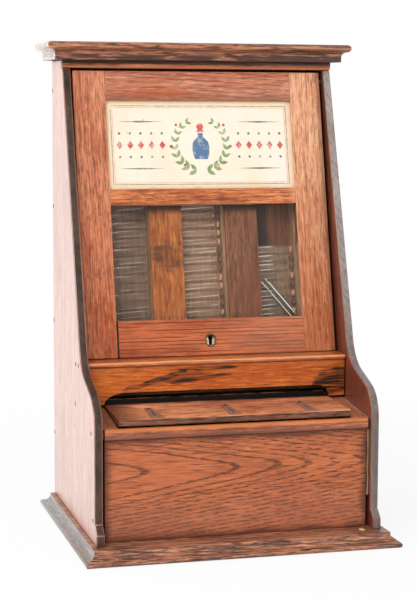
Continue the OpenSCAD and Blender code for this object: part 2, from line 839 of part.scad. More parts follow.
module ledge_nosing() {
    color("sienna") yz(-panel_half, panel_half) polygon(rounded([
        [nosing_y, panel_top_z, nosing_r],
        [nosing_back_y, panel_top_z, 0],
        [nosing_back_y, nosing_top_z, 0],
        [nosing_y, nosing_top_z, nosing_r]]));
}

module ledge_strips() {
    rise = (apron_back_y - nosing_back_y) * tan(ledge_slope);
    color("sienna") both_sides() yz(ledge_in, inner_w) polygon([
        [nosing_back_y, nosing_top_z],
        [apron_back_y, nosing_top_z + rise],
        [apron_back_y, panel_top_z],
        [nosing_back_y, panel_top_z]]);
}

// Heads of the screws in the left side, as places in depth and height
back_screw_rises = [for (i = [0 : back_screw_rows - 1]) base_t + back_screw_up + i * back_screw_pitch];
side_screw_places = concat([
    [sill_y + sill_screw_in, sill_z + sill_t / 2],
    [sill_y + sill_screw_in + sill_screw_pitch, sill_z + sill_t / 2],
    [nosing_back_y + ledge_screw_in, panel_top_z + nosing_h / 2],
    [panel_y + panel_t / 2, base_t + panel_screw_up]],
    [for (z = back_screw_rises) [back_y + back_t / 2, z]]);

module side_screws(d) {
    for (p = side_screw_places) bar_x(-half_w, -half_w + screw_h, p[0], p[1], d);
}

module back_screws(d) {
    for (side = [-1, 1], z = back_screw_rises)
        translate([side * (inner_w - back_screw_in), case_back_y, z]) rotate([90, 0, 0])
            cylinder(d = d, h = screw_h);
}

module case_screws() {
    color("dimgray") {
        both_sides() side_screws(screw_d);
        back_screws(screw_d);
    }
}

module lever_pivot_rod() {
    color("gray") bar_x(-half_w, half_w, lever_pivot_y, lever_pivot_z, lever_rod_d);
}

module trip_rod() {
    rod_half = half_w - side_t / 2;
    color("gray") bar_x(-rod_half, rod_half, trip_y, trip_z, trip_rod_d);
}

module lever_stop_rail() {
    color("burlywood") across(ledge_in, stop_y, stop_y + stop_d, stop_low, stop_z);
}

// Two leaf springs, fixed under the stop rail and bearing up under the lever
module lever_spring() {
    color("slategray") for (x = [-1, 1] * column_pitch / 2) yz(x - leaf_w / 2, x + leaf_w / 2) polygon([
        [stop_y + stop_d, stop_low],
        [stop_y - leaf_t, stop_low],
        [leaf_y, leaf_z],
        [leaf_y, leaf_z - leaf_t],
        [stop_y - leaf_t, stop_low - leaf_t],
        [stop_y + stop_d, stop_low - leaf_t]]);
}

module ejector_shelf() {
    slot_half = tongue_x + tongue_w + slot_play;
    color("burlywood") difference() {
        across(inner_w, shelf_y, shelf_back_y, shelf_low, shelf_z);
        for (x = columns)
            box(x - slot_half, x + slot_half, drive_y - tongue_t / 2 - ejector_run - slot_play,
                drive_y + tongue_t / 2 + slot_play, shelf_low - sliver, shelf_z + sliver);
    }
}

module chute() {
    color("burlywood") yz(-inner_w, inner_w) polygon([
        [chute_y, chute_z - chute_t],
        [chute_y, chute_z],
        [shelf_y, shelf_low - chute_step],
        [shelf_y, shelf_low],
        [shelf_y + chute_t, shelf_low],
        [shelf_y + chute_t, shelf_low - chute_step - chute_t]]);
}

module magazine_back() {
    color("saddlebrown") above(block_top + 2 * vial_gap)
        on_door() across(inner_w, channel_back, channel_back + magazine_t, -reach, magazine_top);
}

module magazine_posts() {
    color("peru") above(shelf_z) on_door() both_sides() {
        box(post_in, post_out, post_depth, channel_back, -reach, magazine_top);
        box(cheek_in, cheek_in + cheek_w, post_depth, channel_back, -reach, magazine_top);
    }
}

// A mask strip whose middle lies at x
module mask_strip(x) {
    half = (post_out - post_in) / 2 + mask_lap;
    box(x - half, x + half, mask_depth, post_depth, bar_top, magazine_top);
}

module mask_strips() {
    post_x = (post_in + post_out) / 2;
    color("chocolate") on_door() {
        mask_strip(-post_x);
        mask_strip(post_x + mask_shift);
    }
}

module magazine_front_bar() {
    color("sienna") above(sill_top)
        on_door() across(inner_w, mask_depth, post_depth, -reach, bar_top);
}

// A vial lying along X, without its cork, which is on the right
module vial_glass(glass_len = vial_len - cork_len, foot_x = -vial_len / 2) {
    neck_x = glass_len - neck_len;
    rotate([0, 90, 0]) translate([0, 0, foot_x]) rotate_extrude() polygon([
        [0, 0],
        [vial_d / 2 - heel, 0],
        [vial_d / 2, heel],
        [vial_d / 2, neck_x - shoulder_len],
        [neck_d / 2, neck_x],
        [neck_d / 2, glass_len - lip_len],
        [lip_d / 2, glass_len - lip_len],
        [lip_d / 2, glass_len],
        [0, glass_len]]);
}

module vial_cork() {
    translate([vial_len / 2 - cork_len, 0, 0]) rotate([0, 90, 0])
        cylinder(d1 = cork_d, d2 = cork_d + cork_flare, h = cork_len);
}

// A vial or cork laid the other way
module turned() {
    rotate([0, 180, 0]) children();
}

// The places of a column's vials above the ejector
module up_column(x, count) {
    for (k = [1 : count])
        on_door() translate([x, vial_depth, ready_s + k * vial_pitch]) children();
}

// The place of the vial that has fallen across the third column and leans on the bar, foot down
module fallen() {
    on_door() translate([columns[2] + loose_right, loose_depth, loose_s])
        rotate([0, 180 + loose_tilt, 0]) children();
}

module vials_left() {
    color("lightgray") up_column(columns[0], full_count) turned() vial_glass();
}

module vials_middle() {
    color("lightgray") up_column(columns[1], full_count) vial_glass();
}

module vials_right() {
    color("lightgray") up_column(columns[2], short_count) vial_glass();
}

module vial_corks() {
    color("tan") {
        up_column(columns[0], full_count) turned() vial_cork();
        up_column(columns[1], full_count) vial_cork();
        up_column(columns[2], short_count) vial_cork();
    }
}

module loose_vial() {
    color("whitesmoke") fallen() vial_glass(loose_len, -loose_len / 2);
}

module door_pivot_pins() {
    color("gray") on_door() both_sides()
        bar_x(door_half - door_pin_in, half_w - door_pin_cover, door_t / 2, pin_s, door_pin_d);
}

module drawer_runners() {
    runner_in = drawer_half + drawer_gap;
    color("burlywood") both_sides()
        box(runner_in, runner_in + runner_w, panel_back_y + block_w, back_y, base_t, base_t + runner_h);
}

// The rebates behind the window and the sign
module rebates() {
    for (s = [[window_s, window_h], [sign_s, sign_h]])
        across(open_half + rebate_w, rebate_lip, door_t + sliver, s[0] - rebate_w, s[0] + s[1] + rebate_w);
}

module door_stile() {
    pin_end = door_half - door_pin_in - pane_play;
    above(sill_top + door_gap) on_door() difference() {
        box(open_half, door_half, 0, door_t, -reach, door_len);
        rebates();
        bar_x(pin_end, door_half + sliver, door_t / 2, pin_s, door_pin_d + 2 * run_clear);
    }
}

module door_stile_left() {
    color("chocolate") mirror([1, 0, 0]) door_stile();
}

module door_stile_right() {
    color("chocolate") door_stile();
}

// A rail between the stiles
module door_rail(s0, s1) {
    difference() {
        across(open_half, 0, door_t, s0, s1);
        rebates();
    }
}

module door_top_rail() {
    color("sienna") on_door() door_rail(top_rail_s, door_len);
}

module door_middle_rail() {
    color("sienna") on_door() door_rail(middle_s, sign_s);
}

// The keyhole: a round hole with a tail below it
module keyhole_outline() {
    translate([0, keyhole_rise]) {
        circle(d = keyhole_d);
        translate([-keyhole_tail_w / 2, -keyhole_tail]) square([keyhole_tail_w, keyhole_tail]);
    }
}

// The outline of the keyhole ring at a width: two half rounds and the straight between them
module ring_outline(w) {
    for (s = [-1, 1] * ring_stretch / 2) translate([0, s]) circle(d = w);
    translate([-w / 2, -ring_stretch / 2]) square([w, ring_stretch]);
}

// An outline round the middle of the keyhole ring, drawn out from one depth in the door to another
module at_keyhole(d0, d1) {
    translate([keyhole_x, 0, keyhole_up]) xz(d0, d1) children();
}

module door_bottom_rail() {
    color("sienna") difference() {
        above(sill_top + door_gap) on_door() difference() {
            door_rail(-reach, bottom_rail_h);
            across(lock_w / 2 + lock_play, lock_cover, door_t + sliver, lock_foot,
                lock_foot + lock_h + lock_play);
            at_keyhole(-sliver, ring_sink) ring_outline(ring_w);
            at_keyhole(0, lock_cover + sliver) keyhole_outline();
        }
        bolt_way(0, lock_foot + sliver);
    }
}

// The keyhole ring, with a sunk plate that holds the keyhole
module keyhole_escutcheon() {
    color("goldenrod") on_door() difference() {
        at_keyhole(-ring_proud, ring_sink) ring_outline(ring_w);
        at_keyhole(-ring_proud - sliver, ring_sink - ring_floor) ring_outline(ring_w - 2 * ring_wall);
        at_keyhole(-ring_proud, ring_sink + sliver) keyhole_outline();
    }
}

module lock_case() {
    color("darkgoldenrod") difference() {
        on_door() difference() {
            across(lock_w / 2, lock_cover, lock_cover + lock_t, lock_foot, lock_foot + lock_h);
            at_keyhole(lock_cover - sliver, lock_cover + keyway_d) keyhole_outline();
        }
        bolt_way(lock_foot - sliver, bolt_rest + bolt_len + bolt_play);
    }
}

module lock_bolt() {
    color("gray") on_door()
        across(bolt_w / 2, bolt_depth - bolt_t / 2, bolt_depth + bolt_t / 2, bolt_rest, bolt_rest + bolt_len);
}

// A sheet behind an opening of the door, from s up the slope, lapping its edges
module pane(lap, d0, d1, s, h) {
    across(open_half + lap, d0, d1, s - lap, s + h + lap);
}

module window_glass() {
    color("lightcyan", 0.4) on_door() pane(rebate_w - pane_play, rebate_lip, bead_depth, window_s, window_h);
}

module window_bead() {
    color("peru") on_door() difference() {
        pane(rebate_w, bead_depth, bead_depth + bead_t, window_s, window_h);
        pane(0, bead_depth - sliver, bead_depth + bead_t + sliver, window_s, window_h);
    }
}

module sign_card() {
    color("oldlace") on_door() pane(rebate_w - pane_play, rebate_lip, rebate_lip + card_t, sign_s, sign_h);
}

module sign_backing() {
    color("burlywood") on_door()
        pane(rebate_w, rebate_lip + card_t, rebate_lip + card_t + backing_t, sign_s, sign_h);
}

// A coin plate, narrow and rounded at the back
module coin_plate() {
    translate([0, 0, lever_rise + plate_proud - plate_t]) linear_extrude(plate_t) polygon(rounded([
        [-plate_front_w / 2, plate_y, plate_front_r],
        [plate_front_w / 2, plate_y, plate_front_r],
        [plate_back_w / 2, plate_y + plate_len, plate_back_r],
        [-plate_back_w / 2, plate_y + plate_len, plate_back_r]]));
}

// The slot for a coin, through the plate, the lever and the carrier
module coin_slot() {
    across(slot_w / 2, -slot_ahead - slot_len / 2, -slot_ahead + slot_len / 2,
        lever_low - carrier_drop - sliver, lever_rise + plate_t);
}

// A piece of the lever at each of the columns
module at_columns() {
    on_lever() for (x = columns) translate([x, 0, 0]) children();
}

module push_lever() {
    color("sienna") difference() {
        on_lever() yz(-lever_half, lever_half) polygon(rounded([
            [-lever_len, lever_low, lever_round / 2],
            [-rail_half_d, lever_low, 0],
            [-rail_half_d, lever_rise, 0],
            [-lever_len, lever_rise, lever_round]]));
        at_columns() {
            coin_plate();
            coin_slot();
        }
    }
}

module lever_rail() {
    color("peru") on_lever() difference() {
        across(lever_half, -rail_half_d, rail_half_d, lever_low, rail_rise);
        bar_x(-lever_half - sliver, lever_half + sliver, 0, 0, lever_rod_d + 2 * run_clear);
    }
}

module coin_plates() {
    color("darkkhaki") at_columns() difference() {
        coin_plate();
        coin_slot();
    }
}

module coin_carriers() {
    color("darkkhaki") at_columns() difference() {
        across(carrier_w / 2, -slot_ahead - carrier_half, -slot_ahead + carrier_half,
            lever_low - carrier_drop, lever_low);
        coin_slot();
    }
}

module plate_screws() {
    color("dimgray") at_columns()
        translate([0, plate_y + plate_len - plate_back_w / 2, lever_rise + plate_proud])
            cylinder(d1 = plate_screw_d, d2 = plate_screw_d / 2, h = plate_screw_h);
}

// A trip lever: the finger under the coin slot, the hub and the fork that drives the ejector
module trip_lever(x) {
    arm_r = (trip_hub_d + trip_rod_d) / 4;
    finger_x = finger_w / 2;
    color("slategray") difference() {
        union() {
            bar_x(x - trip_hub_w / 2, x + trip_hub_w / 2, trip_y, trip_z, trip_hub_d);
            yz(x - trip_t / 2, x + trip_t / 2) polygon([
                [finger_y - finger_x, finger_z],
                [finger_y + finger_x, finger_z],
                [finger_y + finger_x, finger_z - finger_h],
                [trip_y, trip_z + arm_r],
                [drive_y - fork_out, fork_low],
                [drive_y - fork_out, drive_z + fork_over],
                [drive_y - fork_half, drive_z + fork_over],
                [drive_y - fork_half, fork_low],
                [drive_y + fork_half, fork_low],
                [drive_y + fork_half, drive_z + fork_over],
                [drive_y + fork_out, drive_z + fork_over],
                [drive_y + fork_out, fork_low - arm_h],
                [trip_y, trip_z - arm_r],
                [finger_y - finger_x, finger_z - finger_h - arm_h]]);
        }
        bar_x(x - trip_hub_w, x + trip_hub_w, trip_y, trip_z, trip_rod_d + 2 * run_clear);
    }
}

module trip_lever_left() {
    trip_lever(columns[0]);
}

module trip_lever_middle() {
    trip_lever(columns[1]);
}

module trip_lever_right() {
    trip_lever(columns[2]);
}

// An ejector: the block behind the lowest vial, its tongue through the shelf and its drive pin
module ejector(x) {
    block_half = vial_len / 2 - ejector_in;
    color("burlywood") {
        box(x - block_half, x + block_half, block_y, block_back_y, block_low, block_top);
        box(x + tongue_x, x + tongue_x + tongue_w, drive_y - tongue_t / 2, drive_y + tongue_t / 2,
            drive_z - drive_pin_d, block_top);
        bar_x(x - trip_t / 2 - pin_past, x + tongue_x + tongue_w / 2, drive_y, drive_z, drive_pin_d);
    }
}

module ejector_left() {
    ejector(columns[0]);
}

module ejector_middle() {
    ejector(columns[1]);
}

module ejector_right() {
    ejector(columns[2]);
}

// The vial that is next out, lying in front of its ejector
module ready_vial(x) {
    color("lightgray") translate([x, ready_y, ready_z]) {
        vial_glass();
        vial_cork();
    }
}

module ready_vial_left() {
    ready_vial(columns[0]);
}

module ready_vial_middle() {
    ready_vial(columns[1]);
}

module ready_vial_right() {
    ready_vial(columns[2]);
}

module cash_drawer() {
    color("burlywood") difference() {
        across(drawer_half, drawer_y, case_back_y, drawer_z, drawer_top);
        across(drawer_half - drawer_wall, drawer_y + drawer_wall, case_back_y - drawer_wall,
            drawer_z + drawer_floor, drawer_top + sliver);
    }
}

module drawer_knob() {
    color("darkgoldenrod") translate([0, case_back_y, drawer_z + drawer_h / 2]) rotate([-90, 0, 0])
        rotate_extrude() polygon([
            [0, 0],
            [knob_neck_d / 2, 0],
            [knob_neck_d / 2, knob_neck_h],
            [knob_d / 2, knob_neck_h + knob_bevel],
            [knob_d / 2, knob_h - knob_bevel],
            [knob_flat_d / 2, knob_h],
            [0, knob_h]]);
}

base_board();
left_side();
right_side();
back_board();
cornice();
bed_mould();
sill_rail();
apron();
front_panel();
corner_blocks();
ledge_nosing();
ledge_strips();
case_screws();
lever_pivot_rod();
trip_rod();
lever_stop_rail();
lever_spring();
ejector_shelf();
chute();
magazine_back();
magazine_posts();
mask_strips();
magazine_front_bar();
vials_left();
vials_middle();
vials_right();
vial_corks();
loose_vial();
strike_plate();
door_pivot_pins();
drawer_runners();
door_stile_left();
door_stile_right();
door_top_rail();
door_middle_rail();
door_bottom_rail();
window_glass();
window_bead();
sign_card();
sign_backing();
lock_case();
keyhole_escutcheon();
lock_bolt();
push_lever();
lever_rail();
coin_plates();
coin_carriers();
plate_screws();
trip_lever_left();
trip_lever_middle();
trip_lever_right();
ejector_left();
ejector_middle();
ejector_right();
ready_vial_left();
ready_vial_middle();
ready_vial_right();
cash_drawer();
drawer_knob();
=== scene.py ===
import json
import math

import bmesh
import bpy
from mathutils import Matrix, Vector


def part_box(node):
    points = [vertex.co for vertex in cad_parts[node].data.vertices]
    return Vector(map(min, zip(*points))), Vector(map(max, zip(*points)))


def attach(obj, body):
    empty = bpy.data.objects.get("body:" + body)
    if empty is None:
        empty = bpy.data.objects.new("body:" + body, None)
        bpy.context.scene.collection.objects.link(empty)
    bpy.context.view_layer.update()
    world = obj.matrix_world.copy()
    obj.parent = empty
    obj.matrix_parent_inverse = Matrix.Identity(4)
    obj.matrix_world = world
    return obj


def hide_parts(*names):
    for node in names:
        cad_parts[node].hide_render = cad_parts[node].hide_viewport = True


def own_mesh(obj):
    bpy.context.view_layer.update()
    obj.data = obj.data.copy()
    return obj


# An oak counter cabinet that sells corked vials, dressed in varnished and worn wood. Metres.
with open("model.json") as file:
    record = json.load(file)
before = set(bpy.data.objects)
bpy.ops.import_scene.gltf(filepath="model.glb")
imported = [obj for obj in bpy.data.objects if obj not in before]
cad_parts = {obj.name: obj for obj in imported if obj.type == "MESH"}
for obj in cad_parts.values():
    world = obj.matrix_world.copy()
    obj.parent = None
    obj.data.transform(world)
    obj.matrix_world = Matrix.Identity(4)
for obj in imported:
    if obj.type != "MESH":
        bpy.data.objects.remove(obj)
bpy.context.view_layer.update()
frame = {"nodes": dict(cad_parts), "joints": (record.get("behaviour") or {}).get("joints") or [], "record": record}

MM = 0.001
NODES = frame["nodes"]
JOINTS = {joint["name"]: joint for joint in frame["joints"]}
BODY_OF = {node: body for body, nodes in frame["record"]["behaviour"]["bodies"].items() for node in nodes}

# The leaning frame of the door: across it, up its slope and into its depth
ACROSS = Vector((1, 0, 0))
UP = -Vector(JOINTS["bolt_slide"]["axis"]).normalized()
INTO = UP.cross(ACROSS)
LEAN = math.atan2(UP.y, UP.z)


def span(node, direction):
    """Lowest and highest reach of a CAD node along a direction."""
    reaches = [vertex.co.dot(direction) for vertex in NODES[node].data.vertices]
    return min(reaches), max(reaches)


def placed(name, data):
    """A new object in the scene."""
    made = bpy.data.objects.new(name, data)
    bpy.context.scene.collection.objects.link(made)
    return made


# Camera
CAMERA_PLACE = Vector((-0.42964, -1.57935, 0.42007))
CAMERA_YAW = math.radians(15.05)
CAMERA_PITCH = math.radians(6.65)
CAMERA_ROLL = math.radians(0.24)
CAMERA_LENS = 99.62
CAMERA_SENSOR = 36.0


def make_camera():
    """The camera at the photograph's viewing angle."""
    level = math.cos(CAMERA_PITCH)
    ahead = Vector((math.sin(CAMERA_YAW) * level, math.cos(CAMERA_YAW) * level, -math.sin(CAMERA_PITCH)))
    right = ahead.cross(Vector((0, 0, 1))).normalized()
    up = right.cross(ahead)
    right = right * math.cos(CAMERA_ROLL) + up * math.sin(CAMERA_ROLL)
    up = right.cross(ahead)
    data = bpy.data.cameras.new("camera")
    data.lens = CAMERA_LENS
    data.sensor_width = CAMERA_SENSOR
    camera = placed("camera", data)
    turn = Matrix((right, up, -ahead)).transposed().to_4x4()
    camera.matrix_world = Matrix.Translation(CAMERA_PLACE) @ turn
    bpy.context.scene.camera = camera


make_camera()


# Materials. Colours are given as 0 to 255 screen values
def tone(red, green, blue):
    """A linear colour from a screen colour."""
    def linear(value):
        value /= 255
        return value / 12.92 if value <= 0.04045 else ((value + 0.055) / 1.055) ** 2.4
    return (linear(red), linear(green), linear(blue), 1.0)


def operator(operation, swapped=False):
    """A method of a field that adds a math node."""
    def method(field, other=0.0):
        return field.graph.math(operation, *((other, field) if swapped else (field, other)))
    return method


class Field:
    """What a node gives out, with arithmetic that adds the nodes it needs."""

    def __init__(self, graph, socket):
        self.graph, self.socket = graph, socket

    __add__ = __radd__ = operator("ADD")
    __mul__ = __rmul__ = operator("MULTIPLY")
    __sub__, __rsub__ = operator("SUBTRACT"), operator("SUBTRACT", swapped=True)
    __truediv__, __abs__ = operator("DIVIDE"), operator("ABSOLUTE")


class Graph:
    """The nodes of a material or world, with short calls for the ones that repeat."""

    def __init__(self, name, owner=None, output="OutputMaterial"):
        self.owner = owner or bpy.data.materials.new(name)
        self.owner.use_nodes = True
        self.tree = self.owner.node_tree
        self.tree.nodes.clear()
        self.output = self.tree.nodes.new("ShaderNode" + output)

    def add(self, kind, inputs=None, **settings):
        """A new node with its settings and its inputs, by name or number."""
        node = self.tree.nodes.new("ShaderNode" + kind)
        for key, value in settings.items():
            setattr(node, key, value)
        for key, value in (inputs or {}).items():
            self.plug(node.inputs[key], value)
        return node

    def out(self, kind, output, inputs=None, **settings):
        """One output of a new node."""
        return Field(self, self.add(kind, inputs, **settings).outputs[output])

    def plug(self, socket, value):
        """Links a socket to a field, or sets its value."""
        if isinstance(value, Field):
            self.tree.links.new(value.socket, socket)
        else:
            socket.default_value = value

    def end(self, shader):
        """Ends the nodes in a shader."""
        self.plug(self.output.inputs["Surface"], shader)
        return self.owner

    def math(self, operation, first, second=0.0):
        return self.out("Math", 0, {0: first, 1: second}, operation=operation)

    def largest(self, first, *others):
        for other in others:
            first = self.math("MAXIMUM", first, other)
        return first

    def noise(self, vector, scale=1.0, detail=2.0, roughness=0.5):
        return self.out("TexNoise", "Fac", {"Vector": vector, "Scale": scale, "Detail": detail,
                                            "Roughness": roughness})

    def streaks(self, parts, scales, shift=0.0, detail=2.0, roughness=0.5):
        """Noise with a scale of its own along each part of a point."""
        scaled = [part * scale for part, scale in zip(parts, scales)]
        scaled[0] = scaled[0] + shift
        point = self.out("CombineXYZ", 0, dict(enumerate(scaled)))
        return self.noise(point, 1.0, detail, roughness)

    def drift(self, parts, scales, shift, size):
        """A smooth random length, about as often above zero as below it."""
        return (self.streaks(parts, scales, shift, 3) - 0.5) * size

    def ramp(self, value, low, high, start=0.0, end=1.0):
        """A smooth step between two values."""
        return self.out("MapRange", "Result", {"Value": value, "From Min": low, "From Max": high,
                                               "To Min": start, "To Max": end},
                        interpolation_type="SMOOTHSTEP")

    def mix(self, share, first, second, blend="MIX"):
        return self.out("Mix", 2, {0: share, 6: first, 7: second}, data_type="RGBA", blend_type=blend)

    def stain(self, color, over, share):
        """A colour that another covers in part. Three numbers are screen values, four a linear colour."""
        return self.mix(share, color, tone(*over) if len(over) == 3 else over)

    def fade(self, color, level, *bands):
        """Stains a colour along a level. Each band has a colour, where it starts and is full, and its full
        share."""
        for over, start, full, share in bands:
            color = self.stain(color, over, self.ramp(level, start, full, 0.0, share))
        return color

    def place(self, leaning=False):
        """The point in the part's frame, or in the door's leaning frame."""
        point = self.out("TexCoord", "Object")
        return self.out("Mapping", 0, {"Vector": point, "Rotation": (LEAN, 0, 0)}) if leaning else point

    def axes(self, point):
        return [Field(self, socket) for socket in self.add("SeparateXYZ", {0: point}).outputs]

    def closeness(self, distance):
        """1 in corners and gaps that lie closer than a distance, 0 in the open."""
        return 1.0 - self.out("AmbientOcclusion", "AO", {"Distance": distance}, samples=6)

    def surface(self, color, roughness, height=None, relief=0.0, **constants):
        """Ends the material in a principled shader, with a bump where a height is given."""
        shader = self.add("BsdfPrincipled", {"Base Color": color, "Roughness": roughness})
        for key, value in constants.items():
            shader.inputs[key.replace("_", " ").title().replace("Ior", "IOR")].default_value = value
        if height is not None:
            bump = self.out("Bump", 0, {"Height": height, "Strength": 0.6, "Distance": relief})
            self.plug(shader.inputs["Normal"], bump)
        return self.end(Field(self, shader.outputs[0]))


# The colour of painted shade: corners, gaps and shaded edges are darkened towards it
PAINTED_SHADE = (38, 24, 18)
BARE = (232, 164, 116)
GLOW = (1.45, 1.65, 1.5)


def straight_grain(ring, tilt=0.0, wobble=2 * MM, wave=40):
    """Growth lines that run along the board, a ring apart. Gives a function for oak, which works out how far
    the nearest line is and how much the lines are broken."""
    def lines(graph, parts, seed):
        along, across, deep = parts
        sway = graph.drift(parts, (7, wave, wave), seed, 2 * wobble)
        fray = graph.drift(parts, (60, 210, 210), seed + 3, 0.9 * MM)
        place = across + along * tilt + deep * 0.4 + (sway + fray)
        return abs(graph.math("FRACT", place / ring) - 0.5) * ring, 1.0
    return lines


def arched_grain(start, level, spread, even, rise, fall, nose, wobble, first):
    """Growth lines of a flat-sawn board: arches whose points lie on one level. The arches are measured from
    start, first sets where the first point lies, and spread how fast the points follow each other, until they
    are evenly apart at a distance even. Rise and fall are the slopes of the arches' upper and lower sides,
    and nose rounds their points."""
    def lines(graph, parts, seed):
        along, across, _ = parts
        sway = graph.drift(parts, (9, 36, 36), seed, 2 * wobble)
        fray = graph.drift(parts, (150, 330, 330), seed + 3, 2.4 * MM)
        height = across - level + (sway + fray)
        far = graph.math("SQRT", height * height + nose * nose) - nose
        upper = graph.math("GREATER_THAN", height, 0.0)
        run = along - start + far * (upper * (1 / rise - 1 / fall) + 1 / fall)
        near = graph.largest(graph.math("MINIMUM", run, even), 2 * MM)
        beyond = graph.largest(run - even, 0.0)
        year = near * near / spread + beyond * (2 * even / spread)
        off = abs(graph.math("FRACT", year + (0.5 - first)) - 0.5)
        return off * (spread * fall / 2) / near, graph.ramp(run, 0.75 * even, 1.25 * even, 0.45, 1.0)
    return lines


def oak(name, axes, light, dark, pore, grain, leaning=False, thick=1.2 * MM, strength=0.8, dash=1.0,
        pores=0.55, streak=0.35, fine=0.6, fleck=0.0, sharp=0.18, bands=210, rough=0.42, coat=0.06, gloss=0.2,
        worn=0.0, grime=0.7, marks=None):
    """Varnished oak. Axes names the grain's direction, the one across it and the one into the board; grain
    draws the growth lines, which are thick wide and broken into dashes. Streak mixes in darker and lighter
    bands, bands is how many of them fill a metre, fine does the same at the scale of the pores, sharp is the
    softness of the clouds between the two colours, fleck adds small rays, and worn mixes in bare wood. Marks
    adds to the colour: a function of the graph, the point's parts and the colour."""
    graph = Graph(name)
    xyz = graph.axes(graph.place(leaning))
    parts = [xyz["xyz".index(letter)] for letter in axes]
    seed = sum(ord(letter) for letter in name) % 97
    light = tone(*light)
    glow = tuple(min(1.0, factor * value) for factor, value in zip(GLOW, light)) + (1.0,)
    gap, broken = grain(graph, parts, seed)
    dashes = graph.ramp(graph.streaks(parts, (62 / dash, 620, 620), seed), 0.42, 0.56)
    lines = graph.ramp(gap, 0.25 * thick, 0.6 * thick, 1.0, 0.0) * (1.0 - broken * (1.0 - dashes))
    cloud = graph.streaks(parts, (11, 26, 26), seed + 11, 3)
    band = graph.streaks(parts, (13, bands, bands), seed + 5, 4, 0.6)
    fibre = graph.streaks(parts, (34, 900, 900), seed + 7, 3, 0.6)
    speck = graph.streaks(parts, (66, 500, 500), seed + 29, 4, 0.7)
    color = graph.fade(light, cloud, (dark, 0.5 - sharp, 0.5 + sharp, 1.0))
    color = graph.fade(color, band, (pore, 0.52, 0.72, streak), (glow, 0.48, 0.28, streak))
    color = graph.fade(color, speck, (pore, 0.52, 0.68, fine), (glow, 0.48, 0.32, fine))
    color = graph.fade(color, fibre, (pore, 0.52, 0.66, pores))
    color = graph.stain(color, pore, lines * strength)
    if fleck:
        rays = graph.streaks(parts, (85, 300, 300), seed + 17, 3, 0.6)
        color = graph.fade(color, rays, (pore, 0.55, 0.66, fleck), (glow, 0.42, 0.32, 0.8 * fleck))
    # Bare wood: wear, and on the copy for the edges also a painted highlight along the arrises
    if worn:
        rubbed = graph.streaks(parts, (60, 90, 90), seed + 23, 4, 0.7)
        color = graph.fade(color, rubbed, (BARE, 0.38, 0.6, worn))
    if marks:
        color = marks(graph, xyz, color)
    # Painted shade: corners and gaps that ambient occlusion finds close are darkened
    if grime:
        color = graph.fade(color, graph.closeness(6 * MM), (PAINTED_SHADE, 0.35, 0.9, grime))
    return graph.surface(color, (band - 0.5) * 0.25 + rough, fibre * 0.4 - lines, 0.25 * MM, coat_weight=coat,
                         coat_roughness=0.22, specular_ior_level=gloss)


# The most painted shade in corners that the copy for the edges takes
EDGE_CORNER_SHADE = 0.3


def both(name, axes, light, dark, pore, grain, rubbed=0.55, **settings):
    """A wood, and a copy of it for the rounded edges: rubbed bare, partly real wear and partly a painted highlight
    along the arrises.
    """
    edges = {**settings, "worn": rubbed, "grime": min(EDGE_CORNER_SHADE, settings.get("grime", EDGE_CORNER_SHADE))}
    return [oak(name, axes, light, dark, pore, grain, **settings),
            oak(name + "_rubbed", axes, light, dark, pore, grain, **edges)]


# Meshes
SMOOTH_ANGLE = math.radians(32)
FLAT_ANGLE = math.radians(0.5)
CURVED_ANGLE = math.radians(1)
SHORTEST_ARRIS = 0.9 * MM
WELD = 1e-6


def new_piece(name, mesh, materials, body, stands_for=()):
    """A piece of the object, riding on its body."""
    piece = placed(name, mesh)
    for material in materials:
        mesh.materials.append(material)
    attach(piece, body)
    if stands_for:
        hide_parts(*stands_for)
    return piece


def welded(node):
    """A CAD node's mesh with its doubled points merged."""
    bm = bmesh.new()
    bm.from_mesh(NODES[node].data)
    bmesh.ops.remove_doubles(bm, verts=bm.verts, dist=WELD)
    return bm


def to_mesh(bm, name):
    """A mesh from a bmesh, which is let go."""
    mesh = bpy.data.meshes.new(name)
    bm.to_mesh(mesh)
    bm.free()
    return mesh


def dressed(node, materials, arris=0.7 * MM, fold=30, choose=None):
    """A copy of a node with its edges rounded where they fold by more than an angle. The first material
    is the faces', the second the rounded edges', and choose gives the number of a face's material. Flat faces
    are shaded flat."""
    bm = welded(node)
    bmesh.ops.dissolve_limit(bm, angle_limit=FLAT_ANGLE, verts=bm.verts, edges=bm.edges)
    bmesh.ops.recalc_face_normals(bm, faces=bm.faces)
    bm.normal_update()
    fold = math.radians(fold)
    curved = bm.faces.layers.int.new("curved")
    for face in bm.faces:
        face.material_index = choose(face) if choose else 0
        bends = [edge.calc_face_angle(0) for edge in face.edges if len(edge.link_faces) == 2]
        face[curved] = any(CURVED_ANGLE < bend < fold for bend in bends)
    edges = [edge for edge in bm.edges if len(edge.link_faces) == 2
             and edge.calc_length() > SHORTEST_ARRIS and edge.calc_face_angle(0) > fold]
    bmesh.ops.bevel(bm, geom=edges, offset=arris, segments=2, profile=0.5, affect="EDGES",
                    clamp_overlap=True, material=1)
    rounded = [face.material_index == 1 or bool(face[curved]) for face in bm.faces]
    bm.faces.layers.int.remove(curved)
    mesh = to_mesh(bm, node + "_worn")
    mesh.set_sharp_from_angle(angle=SMOOTH_ANGLE)
    mesh.polygons.foreach_set("use_smooth", rounded)
    return new_piece(node + "_worn", mesh, materials, BODY_OF[node], [node])


def board(node, *wood, fold=30, others=(), choose=None, **settings):
    """Dresses a node in a wood of its own, and in other woods on the faces that choose picks."""
    dressed(node, both(*wood, **settings) + list(others), fold=fold, choose=choose)


